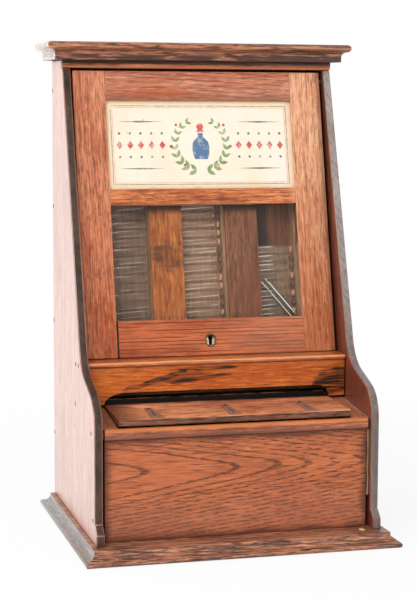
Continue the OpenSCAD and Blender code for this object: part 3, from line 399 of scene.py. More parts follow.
def lathe(bm, profile, place, axis, segments=40):
    """Adds a turned solid: profile is (radius, height) points from one end to the other."""
    turn = axis.to_track_quat("Z", "Y").to_matrix()
    rings = []
    for radius, height in profile:
        if radius == 0:
            rings.append([bm.verts.new(place + turn @ Vector((0, 0, height)))])
            continue
        angles = [2 * math.pi * i / segments for i in range(segments)]
        points = [Vector((radius * math.cos(a), radius * math.sin(a), height)) for a in angles]
        rings.append([bm.verts.new(place + turn @ point) for point in points])
    for lower, upper in zip(rings, rings[1:]):
        for i in range(segments):
            j = (i + 1) % segments
            corners = [ring[k % len(ring)] for ring, k in ((lower, i), (lower, j), (upper, j), (upper, i))]
            bm.faces.new(list(dict.fromkeys(corners)))


def finished(bm, name, materials, body, stands_for=()):
    """A piece from a bmesh, shaded smooth up to an angle."""
    bmesh.ops.recalc_face_normals(bm, faces=bm.faces)
    mesh = to_mesh(bm, name)
    mesh.polygons.foreach_set("use_smooth", [True] * len(mesh.polygons))
    mesh.set_sharp_from_angle(angle=SMOOTH_ANGLE)
    return new_piece(name, mesh, materials, body, stands_for)


def islands(node):
    """The points of each separate solid of a node."""
    bm = welded(node)
    seen, found = set(), []
    for first in bm.verts:
        group, stack = [], [first]
        while stack:
            vertex = stack.pop()
            if vertex not in seen:
                seen.add(vertex)
                group.append(vertex.co.copy())
                stack += [edge.other_vert(vertex) for edge in vertex.link_edges]
        if group:
            found.append(group)
    bm.free()
    return found


HEAD_STEPS, HEAD_RINGS, HEAD_SEGMENTS = 12, 4, 24


def slotted_head(bm, place, axis, radius, rise, slot, turn):
    """Adds a domed screw head with a slot: two half domes on a disc."""
    facing = axis.to_track_quat("Z", "Y").to_matrix() @ Matrix.Rotation(turn, 3, "Z")
    lathe(bm, [(0, -rise), (radius, -rise), (radius, 0), (0, 0)], place, axis, HEAD_SEGMENTS)
    reach = math.acos(slot / 2 / radius)

    def point(side, ring, step):
        angle = reach * (2 * step / HEAD_STEPS - 1)
        a = slot / 2 + (radius * math.cos(angle) - slot / 2) * ring / HEAD_RINGS
        b = radius * math.sin(angle) * ring / HEAD_RINGS
        height = rise * (1 - (a * a + b * b) / radius ** 2)
        return bm.verts.new(place + facing @ Vector((side * a, side * b, max(height, 0))))

    for side in (1, -1):
        hub = point(side, 0, 0)
        grid = [[point(side, k + 1, i) for i in range(HEAD_STEPS + 1)] for k in range(HEAD_RINGS)]
        for i in range(HEAD_STEPS):
            bm.faces.new((hub, grid[0][i], grid[0][i + 1]))
            for inner, outer in zip(grid, grid[1:]):
                bm.faces.new((inner[i], outer[i], outer[i + 1], inner[i + 1]))
        bm.faces.new([row[0] for row in reversed(grid)] + [hub] + [row[-1] for row in grid])
        bm.faces.new(grid[-1])


# Marks in the wood
def off_stroke(graph, wide, high, place, size, slope=0.0):
    """How far a point of a face lies from the middle of a stroke: 0 there, 1 at its outline. Slope tips its
    long way up."""
    wide = wide - place[0]
    high = (high - place[1] - wide * slope) / size[1]
    wide = wide / size[0]
    return graph.math("SQRT", wide * wide + high * high)


def patch(graph, xyz, place, size, slope, ragged, soft=0.15):
    """A ragged patch on an upright face: 1 inside, 0 outside."""
    off = off_stroke(graph, xyz[0], xyz[2], place, size, slope)
    return graph.ramp(off + graph.drift(xyz, (28, 200, 200), 3, ragged), 1 - soft, 1.05, 1.0, 0.0)


# Front panel and apron
panel_low, panel_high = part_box("front_panel")
PANEL_MIDDLE, PANEL_HALF = (panel_low.x + panel_high.x) / 2, (panel_high.x - panel_low.x) / 2
PANEL_FOOT = ((190, 134, 112), 0.068, 0.024, 0.2)
PANEL_EDGE = (78, 46, 36)
PANEL_CRACK = ((0.0968, 0.050), (0.5 * MM, 24 * MM))
PANEL_SCRATCH = ((0.0100, 0.0965), (3 * MM, 0.7 * MM), -0.8)
PANEL_GRAIN = arched_grain(start=-0.100, level=0.0800, spread=9658e-6, even=0.172, rise=0.13, fall=0.14,
                           nose=9 * MM, wobble=3.4 * MM, first=0.0066)


def panel_marks(graph, xyz, color):
    """A greyer foot, darker along the borders with old varnish and painted shade, a short upright check and a pale
    scratch.
    """
    color = graph.fade(color, xyz[2], PANEL_FOOT)
    # The borders: old varnish, and painted shade from the sides and the nosing
    border = graph.largest(abs(xyz[0] - PANEL_MIDDLE) - PANEL_HALF, xyz[2] - panel_high.z,
                           panel_low.z - xyz[2]) + graph.drift(xyz, (30, 30, 60), 0, 10 * MM)
    color = graph.fade(color, border, (PANEL_EDGE, -9 * MM, 1 * MM, 0.8))
    check = graph.ramp(off_stroke(graph, xyz[0], xyz[2], *PANEL_CRACK), 0.6, 1.0, 0.5, 0.0)
    beads = graph.ramp(graph.streaks(xyz, (300, 300, 420), detail=1), 0.4, 0.55)
    color = graph.stain(color, PANEL_EDGE, check * beads)
    scratch = graph.ramp(off_stroke(graph, xyz[0], xyz[2], *PANEL_SCRATCH), 0.6, 1.0, 0.8, 0.0)
    return graph.stain(color, BARE, scratch)


# The apron's dark streaks and hatching: middle, half size, slope, raggedness and softness
APRON_STREAKS = (((-0.058, 0.1555), (0.038, 0.0032), 0.28, 1.8),
                 ((-0.016, 0.1642), (0.030, 0.0024), 0.0, 1.8),
                 ((-0.014, 0.1552), (0.036, 0.0022), 0.12, 1.8), ((0.119, 0.147), (0.024, 0.014), 0.1, 1.0))
APRON_HATCHING = ((-0.036, 0.1575), (0.040, 0.0075), 0.16, 1.2, 0.6)


def apron_marks(graph, xyz, color):
    """Dark heartwood that runs up through the apron, and at its right end."""
    stain = graph.largest(*(patch(graph, xyz, *streak) for streak in APRON_STREAKS),
                          patch(graph, xyz, *APRON_HATCHING) * 0.6)
    lines = graph.ramp(graph.streaks(xyz, (40, 500, 520), 9, 3), 0.35, 0.6, 0.35, 1.0)
    return graph.stain(color, (50, 29, 18), stain * lines)


board("front_panel", "panel_oak", "xzy", (202, 114, 72), (182, 100, 66), (82, 52, 41), PANEL_GRAIN,
      thick=1.35 * MM, strength=0.85, dash=0.65, streak=0.25, fine=0.4, pores=0.7, marks=panel_marks)
board("apron", "apron_oak", "xzy", (222, 120, 50), (198, 97, 38), (118, 58, 26),
      straight_grain(4.2 * MM, 0.05, 3 * MM), strength=0.3, streak=0.4, marks=apron_marks)

# Sill, ledge and bed mould
SILL_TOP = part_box("sill_rail")[1].z
SILL_HIGHLIGHT_LEVEL = SILL_TOP - 1.2 * MM
NOSING_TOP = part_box("ledge_nosing")[1].z
BED_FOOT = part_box("bed_mould")[0].z
CORNER_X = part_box("right_side")[0].x
MOULDING_FOLD = 50
NARROW_GRAIN = straight_grain(3 * MM)


def sill_highlight_and_shade(graph, xyz, color):
    """A painted highlight along the round of the sill, and painted shade on its lower round."""
    level = xyz[2] + graph.drift(xyz, (30, 30, 1), 0, 1.2 * MM)
    line = graph.ramp(abs(level - SILL_HIGHLIGHT_LEVEL), 0.3 * MM, 1 * MM, 0.6, 0.0)
    color = graph.stain(color, (246, 176, 120), line)
    return graph.fade(color, level, ((120, 62, 36), SILL_TOP - 3 * MM, SILL_TOP - 5 * MM, 0.5))


def nosing_highlight_and_shade(graph, xyz, color):
    """A painted orange highlight along the top of the nosing, and grey painted shade below."""
    level = xyz[2] + graph.drift(xyz, (40, 40, 1), 0, 4 * MM)
    return graph.fade(color, level, ((226, 132, 76), NOSING_TOP - 4 * MM, NOSING_TOP - 1 * MM, 0.7),
                      ((112, 76, 62), NOSING_TOP - 4 * MM, NOSING_TOP - 8 * MM, 0.6))


def bed_highlight_and_shade(graph, xyz, color):
    """A painted orange highlight on the round of the bed mould, and near-black painted shade above it."""
    level = xyz[2] + graph.drift(xyz, (30, 30, 1), 0, 3 * MM)
    return graph.fade(color, level, ((52, 34, 27), BED_FOOT + 3.6 * MM, BED_FOOT + 5 * MM, 0.8),
                      ((214, 132, 88), BED_FOOT + 3.2 * MM, BED_FOOT + 1.4 * MM, 0.75))


def ledge_shade_and_dust(graph, xyz, color):
    """Painted shade over the left strip, and pale dust in the corner at the right side."""
    return graph.fade(color, xyz[0], ((92, 66, 55), 0.02, -0.02, 0.35),
                      ((206, 190, 178), CORNER_X - 1.4 * MM, CORNER_X - 0.4 * MM, 0.9))


board("sill_rail", "sill_oak", "xyz", (220, 126, 66), (190, 98, 48), (118, 60, 32), NARROW_GRAIN,
      strength=0.4, streak=0.5, rough=0.26, coat=0.5, gloss=0.5, rubbed=0.5, marks=sill_highlight_and_shade,
      fold=MOULDING_FOLD)
board("ledge_nosing", "nosing_oak", "xyz", (200, 118, 82), (164, 94, 68), (84, 52, 40), NARROW_GRAIN,
      strength=0.6, streak=0.5, rubbed=0.6, marks=nosing_highlight_and_shade, fold=MOULDING_FOLD)
board("ledge_strips", "ledge_oak", "yxz", (226, 142, 104), (190, 116, 86), (84, 50, 39), NARROW_GRAIN,
      strength=0.4, grime=0.0, marks=ledge_shade_and_dust)
board("bed_mould", "bed_oak", "xyz", (196, 120, 86), (144, 90, 66), (58, 38, 30), straight_grain(3.2 * MM),
      strength=0.5, streak=0.7, sharp=0.08, rubbed=0.8, marks=bed_highlight_and_shade, fold=MOULDING_FOLD)

# Sides: varnished faces, front edges dark with handling, and pale woods that paint glare on the left outside and a
# reflection on the right edge
LEFT_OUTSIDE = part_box("left_side")[0].x + 1 * MM
SIDE_GRAIN = straight_grain(6 * MM, 0.02, 6 * MM, 20)
SIDE = dict(rough=0.36, coat=0.9, gloss=0.5, grime=0.4, streak=0.4, fine=0.5)
EDGE = dict(rough=0.34, streak=0.3, fine=0.3, pores=0.3, strength=0.4, worn=0.05, grime=0.3)
# A paler copy of the side wood: painted glare on the outside of the left side
GLARE_SIDE = oak("faded_side_oak", "zyx", (210, 162, 147), (196, 147, 133), (138, 99, 88), SIDE_GRAIN, **SIDE)
SIDE_WOODS = both("side_oak", "zyx", (134, 70, 52), (106, 54, 41), (64, 36, 28), SIDE_GRAIN, rubbed=0.12,
                  **SIDE)


def fading_reflection_foot(graph, xyz, color):
    """Darker from half its height down, where the painted reflection fades."""
    return graph.fade(color, xyz[2], ((60, 50, 47), 0.3, 0.12, 0.45))


def side_face(face):
    """The dark edge wood on what faces the customer, and the pale wood that paints glare on the left side's
    outside.
    """
    if face.normal.y < -0.2 and abs(face.normal.x) < 0.5:
        return 2
    return 3 if face.normal.x < -0.9 and face.calc_center_median().x < LEFT_OUTSIDE else 0


EDGE_OF = {
    "left_side": oak("side_edge_left", "zyx", (70, 54, 47), (50, 39, 35), (28, 22, 20), NARROW_GRAIN, **EDGE),
    # The right edge's pale grey paints a reflection on the dark edge wood
    "right_side": oak("side_edge_right", "zyx", (170, 160, 156), (138, 128, 124), (80, 70, 66), NARROW_GRAIN,
                      marks=fading_reflection_foot, **EDGE)}
for side, edge_wood in EDGE_OF.items():
    dressed(side, SIDE_WOODS + [edge_wood, GLARE_SIDE], arris=1.0 * MM, choose=side_face)

# Base board and cornice
DARK_WOOD = dict(strength=0.75, streak=1.0, bands=400, sharp=0.16, fine=1.0, pores=0.9, rough=0.38, gloss=0.4,
                 rubbed=0.35)
# Greyed and paled copies of the mouldings' woods: painted glare on their left runs
RETURN = dict(rough=0.36, coat=0.9, gloss=0.5, streak=0.6, fine=0.6, grime=0.5)
BASE_RETURN = oak("base_return_oak", "yxz", (124, 106, 97), (92, 77, 70), (44, 35, 31),
                  straight_grain(3.6 * MM), **RETURN)
CORNICE_RETURN = oak("cornice_return_oak", "yxz", (214, 190, 180), (196, 170, 158), (110, 88, 78),
                     straight_grain(3.4 * MM), **RETURN)
FILLET_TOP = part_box("cornice")[0].z + 5 * MM
CHIP = ((0.1215, -0.1045), (3.41 * MM, 5.5 * MM))
RUN_FOLD = 40


def left_return(face):
    """The greyed copy of the wood that paints glare, on the left run of a moulding."""
    return 2 if face.calc_center_median().x < LEFT_OUTSIDE else 0


def base_marks(graph, xyz, color):
    """A small chip of bare yellow wood by the right foot."""
    chip = graph.ramp(off_stroke(graph, xyz[0], xyz[1], *CHIP), 0.6, 1.0, 1.0, 0.0)
    return graph.stain(color, (255, 232, 160), chip)


def cornice_marks(graph, xyz, color):
    """A dark lower fillet with patches of bare orange wood."""
    stained = graph.ramp(graph.streaks(xyz, (26, 60, 160), 5, 3), 0.5, 0.62, 0.85, 0.1)
    low = graph.ramp(xyz[2], FILLET_TOP + 1 * MM, FILLET_TOP)
    return graph.stain(color, (60, 32, 22), low * stained)


board("base_board", "base_oak", "xyz", (194, 126, 95), (144, 95, 75), (42, 28, 22),
      straight_grain(3.6 * MM, 0.08, 4 * MM), marks=base_marks, grime=0.3, **DARK_WOOD,
      others=[BASE_RETURN], fold=RUN_FOLD, choose=left_return)
board("cornice", "cornice_oak", "xyz", (182, 116, 86), (128, 82, 63), (34, 23, 18),
      straight_grain(3.4 * MM, 0.04, 4 * MM), marks=cornice_marks, **DARK_WOOD,
      others=[CORNICE_RETURN], fold=RUN_FOLD, choose=left_return)


# Door
def graded(node, foot, head, outer=0.0, reach=1.0):
    """Marks for a stile: its colour is multiplied by foot at the bottom and by head from a share reach of
    its height up, and its outer edge is darkened by outer, as painted shade."""
    low, high = span(node, UP)
    out_x = max(span(node, ACROSS), key=abs)

    def marks(graph, xyz, color):
        factor = graph.mix(graph.ramp(xyz[2], low, low + reach * (high - low)), foot + (1,), head + (1,))
        color = graph.mix(1.0, color, factor, "MULTIPLY")
        return graph.fade(color, abs(xyz[0] - out_x), (PAINTED_SHADE, 7 * MM, 1 * MM, outer))
    return marks


FIGURE = dict(leaning=True, strength=0.5, streak=0.4, fleck=0.45, sharp=0.1)
STILE_GRAIN = straight_grain(5.5 * MM, 0.02, 7 * MM, 24)
TOP_RAIL_FOOT = span("door_top_rail", UP)[0]
RED_VARNISH = ((-0.042, TOP_RAIL_FOOT + 7 * MM), (0.044, 0.007), 0.0, 1.6, 0.8)
MIDDLE_RAIL_END = span("door_middle_rail", ACROSS)[1]
MIDDLE_RAIL_UP = sum(span("door_middle_rail", UP)) / 2
SCRATCHES, SCRATCH_START, SCRATCH_STEP = 5, -0.078, (0.011, 1.5 * MM)
SCRATCH_SIZE, SCRATCH_SLOPE = (9 * MM, 0.6 * MM), -0.55
JOINT_X = span("door_bottom_rail", ACROSS)[0]


def top_rail_marks(graph, xyz, color):
    """A dirty lower edge, and a patch of redder varnish over its left half."""
    level = xyz[2] + graph.drift(xyz, (30, 90, 90), 6, 5 * MM)
    color = graph.fade(color, level, ((120, 74, 54), TOP_RAIL_FOOT + 11 * MM, TOP_RAIL_FOOT + 1 * MM, 0.5))
    return graph.stain(color, (186, 82, 44), patch(graph, xyz, *RED_VARNISH) * 0.55)


def middle_rail_marks(graph, xyz, color):
    """Pale scratches that run down to the right near the left end, and a worn right end."""
    for number in range(SCRATCHES):
        place = (SCRATCH_START + SCRATCH_STEP[0] * number, MIDDLE_RAIL_UP + SCRATCH_STEP[1] * (number % 2))
        off = off_stroke(graph, xyz[0], xyz[2], place, SCRATCH_SIZE, SCRATCH_SLOPE)
        color = graph.stain(color, BARE, graph.ramp(off, 0.5, 1.0, 0.45, 0.0))
    near = xyz[0] + graph.drift(xyz, (60, 60, 60), 4, 14 * MM)
    return graph.fade(color, near, (BARE, MIDDLE_RAIL_END - 12 * MM, MIDDLE_RAIL_END, 0.5))


def bottom_rail_marks(graph, xyz, color):
    """A paler right half, and the open joint at the left end of the bottom rail."""
    color = graph.fade(color, xyz[0], ((232, 176, 140), -0.02, 0.06, 0.16))
    near = xyz[0] + graph.drift(xyz, (0, 0, 90), 0, 1 * MM)
    return graph.fade(color, near, ((20, 15, 13), JOINT_X + 2 * MM, JOINT_X + 1.2 * MM, 1.0))


board("door_stile_left", "stile_oak_left", "zxy", (218, 142, 108), (192, 112, 80), (104, 58, 42),
      STILE_GRAIN, marks=graded("door_stile_left", (0.88, 0.68, 0.54), (1.06, 1.06, 1.06)), **FIGURE)
# The right stile grows paler towards its top: a painted highlight
board("door_stile_right", "stile_oak_right", "zxy", (246, 168, 126), (230, 144, 102), (140, 80, 55),
      STILE_GRAIN, marks=graded("door_stile_right", (0.7, 0.54, 0.43), (1.0, 1.17, 1.3), 0.4, 0.75), **FIGURE)
board("door_top_rail", "top_rail_oak", "xzy", (214, 146, 118), (198, 120, 90), (98, 62, 50),
      straight_grain(5 * MM, 0.05, 5 * MM), leaning=True, strength=0.55, streak=0.3, pores=0.6,
      marks=top_rail_marks)
board("door_middle_rail", "middle_rail_oak", "xzy", (218, 130, 86), (194, 106, 64), (106, 56, 38),
      straight_grain(4.4 * MM, -0.03, 4 * MM), leaning=True, strength=0.6, streak=0.6, fleck=0.4, fine=0.7,
      marks=middle_rail_marks)
board("door_bottom_rail", "bottom_rail_oak", "xzy", (206, 112, 70), (178, 88, 54), (80, 42, 30),
      straight_grain(3.7 * MM, 0.0, 0.7 * MM), leaning=True, dash=5.0, streak=0.5, pores=0.3, fine=0.35,
      marks=bottom_rail_marks)

# Lever and what shows behind the glass
lever_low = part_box("push_lever")[0]
APRON_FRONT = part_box("apron")[0].y
WINDOW_TOP = span("door_middle_rail", UP)[0]
LEFT_STRIP_STAIN = ((-0.038, 0.2715), (0.026, 0.020), 0.0, 1.6, 0.7)
RIGHT_STRIP_RED = ((0.050, 0.225), (0.020, 0.050), 0.0, 1.4, 0.8)
STRIP = dict(leaning=True, strength=0.3, streak=0.5, fleck=0.5, fine=0.7, rubbed=0.3, grime=0.0)
STRIP_GRAIN = straight_grain(6 * MM, 0.0, 8 * MM, 24)
PLAIN_GRAIN = straight_grain(4 * MM)


def lever_shadow_marks(graph, xyz, color):
    """Painted shadow under the apron, and painted shade at the left end."""
    depth = xyz[1] + graph.drift(xyz, (30, 120, 1), 0, 10 * MM)
    color = graph.fade(color, depth, ((20, 17, 17), APRON_FRONT, APRON_FRONT + 6 * MM, 0.95))
    return graph.fade(color, xyz[0], ((70, 48, 39), lever_low.x + 34 * MM, lever_low.x, 0.7))


def lever_front(face):
    """The dark wood on the lever's front edge."""
    return 2 if face.normal.y < -0.7 and face.calc_center_median().y < lever_low.y + 3 * MM else 0


def shaded_top(graph, xyz, color):
    """Painted shadow under the top of the window."""
    return graph.fade(color, xyz[2], (PAINTED_SHADE, WINDOW_TOP - 9 * MM, WINDOW_TOP - 1 * MM, 0.85))


def left_strip_marks(graph, xyz, color):
    """A dark stain across the middle of the left strip."""
    mottled = graph.ramp(graph.streaks(xyz, (90, 90, 90), detail=4), 0.3, 0.65, 0.3, 0.85)
    color = graph.stain(color, (88, 50, 36), patch(graph, xyz, *LEFT_STRIP_STAIN) * mottled)
    return shaded_top(graph, xyz, color)


def right_strip_marks(graph, xyz, color):
    """Redder wood low on the right strip."""
    color = graph.stain(color, (150, 78, 48), patch(graph, xyz, *RIGHT_STRIP_RED) * 0.5)
    return shaded_top(graph, xyz, color)


def strip_side(face):
    """The darker wood on the right strip."""
    return 0 if face.calc_center_median().x < 0 else 2


LEVER_FRONT = oak("lever_front_oak", "xyz", (138, 92, 70), (104, 70, 54), (46, 29, 23), NARROW_GRAIN,
                  streak=0.7, fine=0.8)
board("push_lever", "lever_oak", "xyz", (250, 158, 112), (212, 124, 88), (66, 36, 27),
      straight_grain(4 * MM, 0.03, 4 * MM), strength=0.6, streak=0.7, sharp=0.1, fine=0.8, rubbed=0.35,
      grime=0.3, marks=lever_shadow_marks, others=[LEVER_FRONT], choose=lever_front)
# Near black: painted shade that carries the shadow under the apron over the lever rail
board("lever_rail", "lever_rail_oak", "xyz", (34, 29, 28), (24, 21, 21), (16, 14, 14), PLAIN_GRAIN)
RIGHT_STRIP = both("strip_oak_right", "zxy", (160, 100, 72), (132, 78, 54), (74, 44, 33), STRIP_GRAIN,
                   marks=right_strip_marks, **STRIP)
board("mask_strips", "strip_oak_left", "zxy", (232, 134, 66), (202, 106, 48), (116, 60, 32), STRIP_GRAIN,
      marks=left_strip_marks, others=RIGHT_STRIP, choose=strip_side, **STRIP)
board("magazine_front_bar", "bar_oak", "xzy", (150, 80, 52), (112, 62, 44), (84, 44, 30), PLAIN_GRAIN)

# Plain wood inside and behind
STACK_TOP = span("vials_right", UP)[1]
BACK_STREAK = 66 * MM
BARE_BACK = (0.43, 0.26, 0.20, 1)


def back_marks(graph, xyz, color):
    """Darker, redder wood above the third column's vials, with a blue-black streak of painted shadow down it."""
    above = graph.ramp(xyz[2], STACK_TOP - 4 * MM, STACK_TOP + 2 * MM)
    color = graph.mix(graph.ramp(xyz[0], 50 * MM, 54 * MM) * above, color, BARE_BACK, "MULTIPLY")
    streak = graph.ramp(abs(xyz[0] - BACK_STREAK), 6 * MM, 9 * MM, 0.85, 0.0)
    return graph.stain(color, (52, 50, 54), streak * above)


INNER_GRAIN = straight_grain(5 * MM)
INNER = dict(strength=0.4, rubbed=0.3, coat=0.0)
COLUMN = dict(leaning=True, rough=0.6, grime=0.0, **INNER)
PLAIN = both("plain_wood", "xyz", (182, 142, 102), (156, 116, 80), (112, 80, 54),
             straight_grain(5 * MM, 0.03, 4 * MM), rough=0.62, **INNER)
POSTS = both("post_wood", "zxy", (214, 174, 136), (184, 144, 110), (124, 92, 70), INNER_GRAIN, **COLUMN)
DARK_PLAIN = both("dark_plain_wood", "zxy", (214, 172, 146), (184, 144, 122), (120, 90, 76), INNER_GRAIN,
                  marks=back_marks, **COLUMN)
for node in ("corner_blocks", "lever_stop_rail", "ejector_shelf", "chute", "drawer_runners", "sign_backing",
             "ejector_left", "ejector_middle", "ejector_right", "cash_drawer"):
    dressed(node, PLAIN, arris=0.5 * MM)
for node in ("magazine_back", "window_bead"):
    dressed(node, DARK_PLAIN, arris=0.4 * MM)
dressed("magazine_posts", POSTS, arris=0.4 * MM)
board("back_board", "back_oak", "zxy", (154, 96, 66), (126, 76, 52), (80, 48, 34),
      straight_grain(6 * MM, 0.03, 6 * MM, 24), strength=0.6, rough=0.55)


# Metal
def metal(name, light, dark, rough, scratch=0.35, grime=0.7, recess_shadow=None, metallic=0.9):
    """Dull metal with a mottled patina and fine scratches, darkened in hollows and gaps as painted shade. A pair
    of heights up the door, if given, paints the shadow in the top of a recess: above them it turns black."""
    graph = Graph(name)
    point = graph.place()
    mottle = graph.noise(point, 320, 4, 0.65)
    scratches = graph.streaks(graph.axes(point), (240, 2600, 2600))
    color = graph.stain(tone(*light), dark, graph.ramp(mottle, 0.35, 0.65))
    color = graph.fade(color, scratches, (light, 0.6, 0.72, scratch))
    color = graph.fade(color, graph.closeness(2 * MM), (PAINTED_SHADE, 0.3, 0.8, grime))
    if recess_shadow:
        color = graph.fade(color, graph.axes(graph.place(True))[2], (PAINTED_SHADE, *recess_shadow, 0.95))
    return graph.surface(color, (mottle - 0.5) * 0.35 + rough, mottle, 0.05 * MM, metallic=metallic)


KEYHOLE_HIGH = span("keyhole_escutcheon", UP)[1]
KEYHOLE_FACE = span("keyhole_escutcheon", INTO)[0]
SUNK_DEPTH = 1 * MM
STEEL = metal("steel", (132, 128, 124), (84, 80, 76), 0.42)
SCREW_STEEL = metal("screw_steel", (74, 54, 46), (46, 35, 31), 0.6, metallic=0.2)
BRASS = metal("brass", (196, 164, 96), (136, 104, 56), 0.32)
RING_BRASS = metal("ring_brass", (128, 104, 58), (70, 56, 34), 0.4)
# The sunk plate turns black at its top: painted shadow
BRIGHT = metal("bright_metal", (236, 218, 196), (190, 170, 150), 0.3, grime=0.5,
               recess_shadow=(KEYHOLE_HIGH - 4.6 * MM, KEYHOLE_HIGH - 2.6 * MM))
BRONZE = metal("bronze", (168, 122, 96), (132, 94, 75), 0.6, grime=0.4, metallic=0.3)
IRON = metal("dark_iron", (34, 29, 26), (22, 19, 18), 0.6)


def sunk_plate(face):
    """The bright metal on the plate that lies back in the keyhole ring."""
    depth = face.calc_center_median().dot(INTO) - KEYHOLE_FACE
    return 2 if depth > SUNK_DEPTH and face.normal.dot(INTO) < -0.9 else 0


for node in ("lever_pivot_rod", "trip_rod", "door_pivot_pins", "lock_bolt",
             "trip_lever_left", "trip_lever_middle", "trip_lever_right"):
    dressed(node, [STEEL] * 2, arris=0.25 * MM)

# The leaf spring, with a mesh of its own
spring = dressed("lever_spring", [STEEL] * 2, arris=0.25 * MM)
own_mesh(spring)
for node, metals, choose in (("strike_plate", [BRASS] * 2, None), ("lock_case", [IRON] * 2, None),
                             ("keyhole_escutcheon", [RING_BRASS] * 2 + [BRIGHT], sunk_plate),
                             ("coin_plates", [BRONZE] * 2, None), ("coin_carriers", [BRONZE] * 2, None)):
    dressed(node, metals, arris=0.2 * MM, choose=choose)

HEAD_RISE, HEAD_TURN = 0.8 * MM, 0.9


def screws(node, name, proud, slot):
    """Slotted heads in the places of a node's solids, each turned its own way."""
    bm = bmesh.new()
    for number, group in enumerate(islands(node)):
        low = Vector([min(p[i] for p in group) for i in range(3)])
        high = Vector([max(p[i] for p in group) for i in range(3)])
        size, centre = high - low, (low + high) / 2
        thin = min(range(3), key=lambda i: size[i])
        axis = Vector((0, 0, 0))
        axis[thin] = -1 if thin == 0 and centre.x < 0 else 1
        place = centre + axis * (size[thin] / 2 + proud - HEAD_RISE)
        slotted_head(bm, place, axis, max(size) / 2, HEAD_RISE, slot, HEAD_TURN * number)
    finished(bm, name, [SCREW_STEEL], BODY_OF[node], [node])


screws("case_screws", "case_screw_heads", 0.35 * MM, 0.7 * MM)
screws("plate_screws", "plate_screw_heads", 0.2 * MM, 0.6 * MM)

# The knob's stem, in shares of its radius and length
KNOB_STEM = ((0, 0), (0.55, 0), (0.55, 0.06), (0.46, 0.16), (0.46, 0.36), (0.62, 0.42), (0.92, 0.5))
KNOB_STEPS = 10


def turned_knob():
    """The drawer's brass knob, with a rounded face and a waist."""
    low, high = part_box("drawer_knob")
    radius, length = (high.x - low.x) / 2, high.y - low.y
    angles = [i * math.pi / 2 / KNOB_STEPS for i in range(KNOB_STEPS)]
    face = [(0.2 + 0.8 * math.cos(a), 0.62 + 0.38 * math.sin(a)) for a in angles]
    shares = [*KNOB_STEM, *face, (0.2, 1), (0, 1)]
    bm = bmesh.new()
    lathe(bm, [(radius * wide, length * out) for wide, out in shares],
          Vector((0, low.y, (low.z + high.z) / 2)), Vector((0, 1, 0)))
    finished(bm, "turned_drawer_knob", [BRASS], BODY_OF["drawer_knob"],
             ["drawer_knob"])


turned_knob()


# Glass and corks
def pane_glass():
    """Old window glass, clear and thin, with a faint film of dust."""
    graph = Graph("pane_glass")
    point = graph.place(True)
    bump = graph.out("Bump", 0, {"Height": graph.noise(point, 38), "Strength": 0.12, "Distance": 1 * MM})
    clear = graph.out("BsdfTransparent", 0, {"Color": (0.95, 0.95, 0.94, 1)})
    gloss = graph.out("BsdfGlossy", 0, {"Color": (1, 1, 1, 1), "Roughness": 0.04, "Normal": bump})
    dust = graph.out("BsdfDiffuse", 0, {"Color": tone(190, 176, 160)})
    film = graph.ramp(graph.noise(point, 60, 5, 0.7), 0.45, 0.8, 0.0, 0.03)
    film = film + graph.ramp(graph.closeness(9 * MM), 0.3, 0.95, 0.0, 0.05)
    speck = graph.out("TexVoronoi", "Distance", {"Vector": point, "Scale": 150.0})
    some = graph.ramp(graph.noise(point, 45), 0.52, 0.58)
    film = film + graph.ramp(speck, 0.05, 0.11, 0.55, 0.0) * some
    mirror = graph.out("Fresnel", 0, {"IOR": 1.16, "Normal": bump})
    seen = graph.out("MixShader", 0, {0: mirror, 1: clear, 2: gloss})
    return graph.end(graph.out("MixShader", 0, {0: film, 1: seen, 2: dust}))


VIAL_LEVELS = sorted(sum(p.dot(UP) for p in group) / len(group) for group in islands("vials_left"))
VIAL_PITCH = (VIAL_LEVELS[-1] - VIAL_LEVELS[0]) / (len(VIAL_LEVELS) - 1)
VIAL_START = VIAL_LEVELS[0] - VIAL_PITCH / 2
HAZE, LOOSE_HAZE, GLINT, GLINT_SLOPE = 0.28, 0.05, (250, 246, 240), 0.06
# Glints along a vial: place and half width, in shares of the pitch or in metres, and strength
VIAL_GLINTS = ((0.30, 0.052, 1.0), (0.72, 0.048, 0.85))
LOOSE_GLINTS = ((2.7 * MM, 1.25 * MM, 1.0), (-2.6 * MM, 0.7 * MM, 0.85))
LOOSE_TILT = math.radians(51)
LOOSE_MIDDLE = sum(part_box("loose_vial"), Vector()) / 2


def clear_glass(graph, color, glints, haze):
    """Ends a material in thin glass: see-through but for its haze and for the glints along its wall."""
    normal = graph.out("NewGeometry", "Normal")
    facing = graph.out("Mix", 1, {0: glints, 4: normal, 5: -INTO}, data_type="VECTOR")
    color = graph.stain(color, GLINT, glints)
    return graph.end(graph.out("BsdfPrincipled", 0, {
        "Base Color": color, "Roughness": 0.12, "Metallic": glints, "Normal": facing,
        "Alpha": glints * (1 - haze) + haze}))


def vial_glass(name, light, dark, bright, bare):
    """Stacked vials, brown inside. Each has two thin glints along it, as strong as bright, that are
    fainter close to bare, the middle of a stretch given with its half length."""
    graph = Graph(name)
    xyz = graph.axes(graph.place(True))
    cloud = graph.streaks(xyz, (60, 110, 110), 0.0, 3, 0.6)
    color = graph.stain(tone(*light), dark, graph.ramp(cloud, 0.35, 0.65))
    turn = graph.math("FRACT", (xyz[2] - xyz[0] * GLINT_SLOPE - VIAL_START) / VIAL_PITCH)
    lines = []
    for number, (place, half, share) in enumerate(VIAL_GLINTS):
        patchy = graph.ramp(graph.streaks(xyz, (26, 40, 90), 7 * number), 0.34, 0.6)
        lines.append(graph.ramp(abs(turn - place), 0.3 * half, half, share * bright, 0.0) * patchy)
    kept = graph.ramp(abs(xyz[0] - bare[0]), bare[1], bare[1] + 8 * MM, 0.1, 1.0)
    return clear_glass(graph, color, graph.largest(*lines) * kept, HAZE)


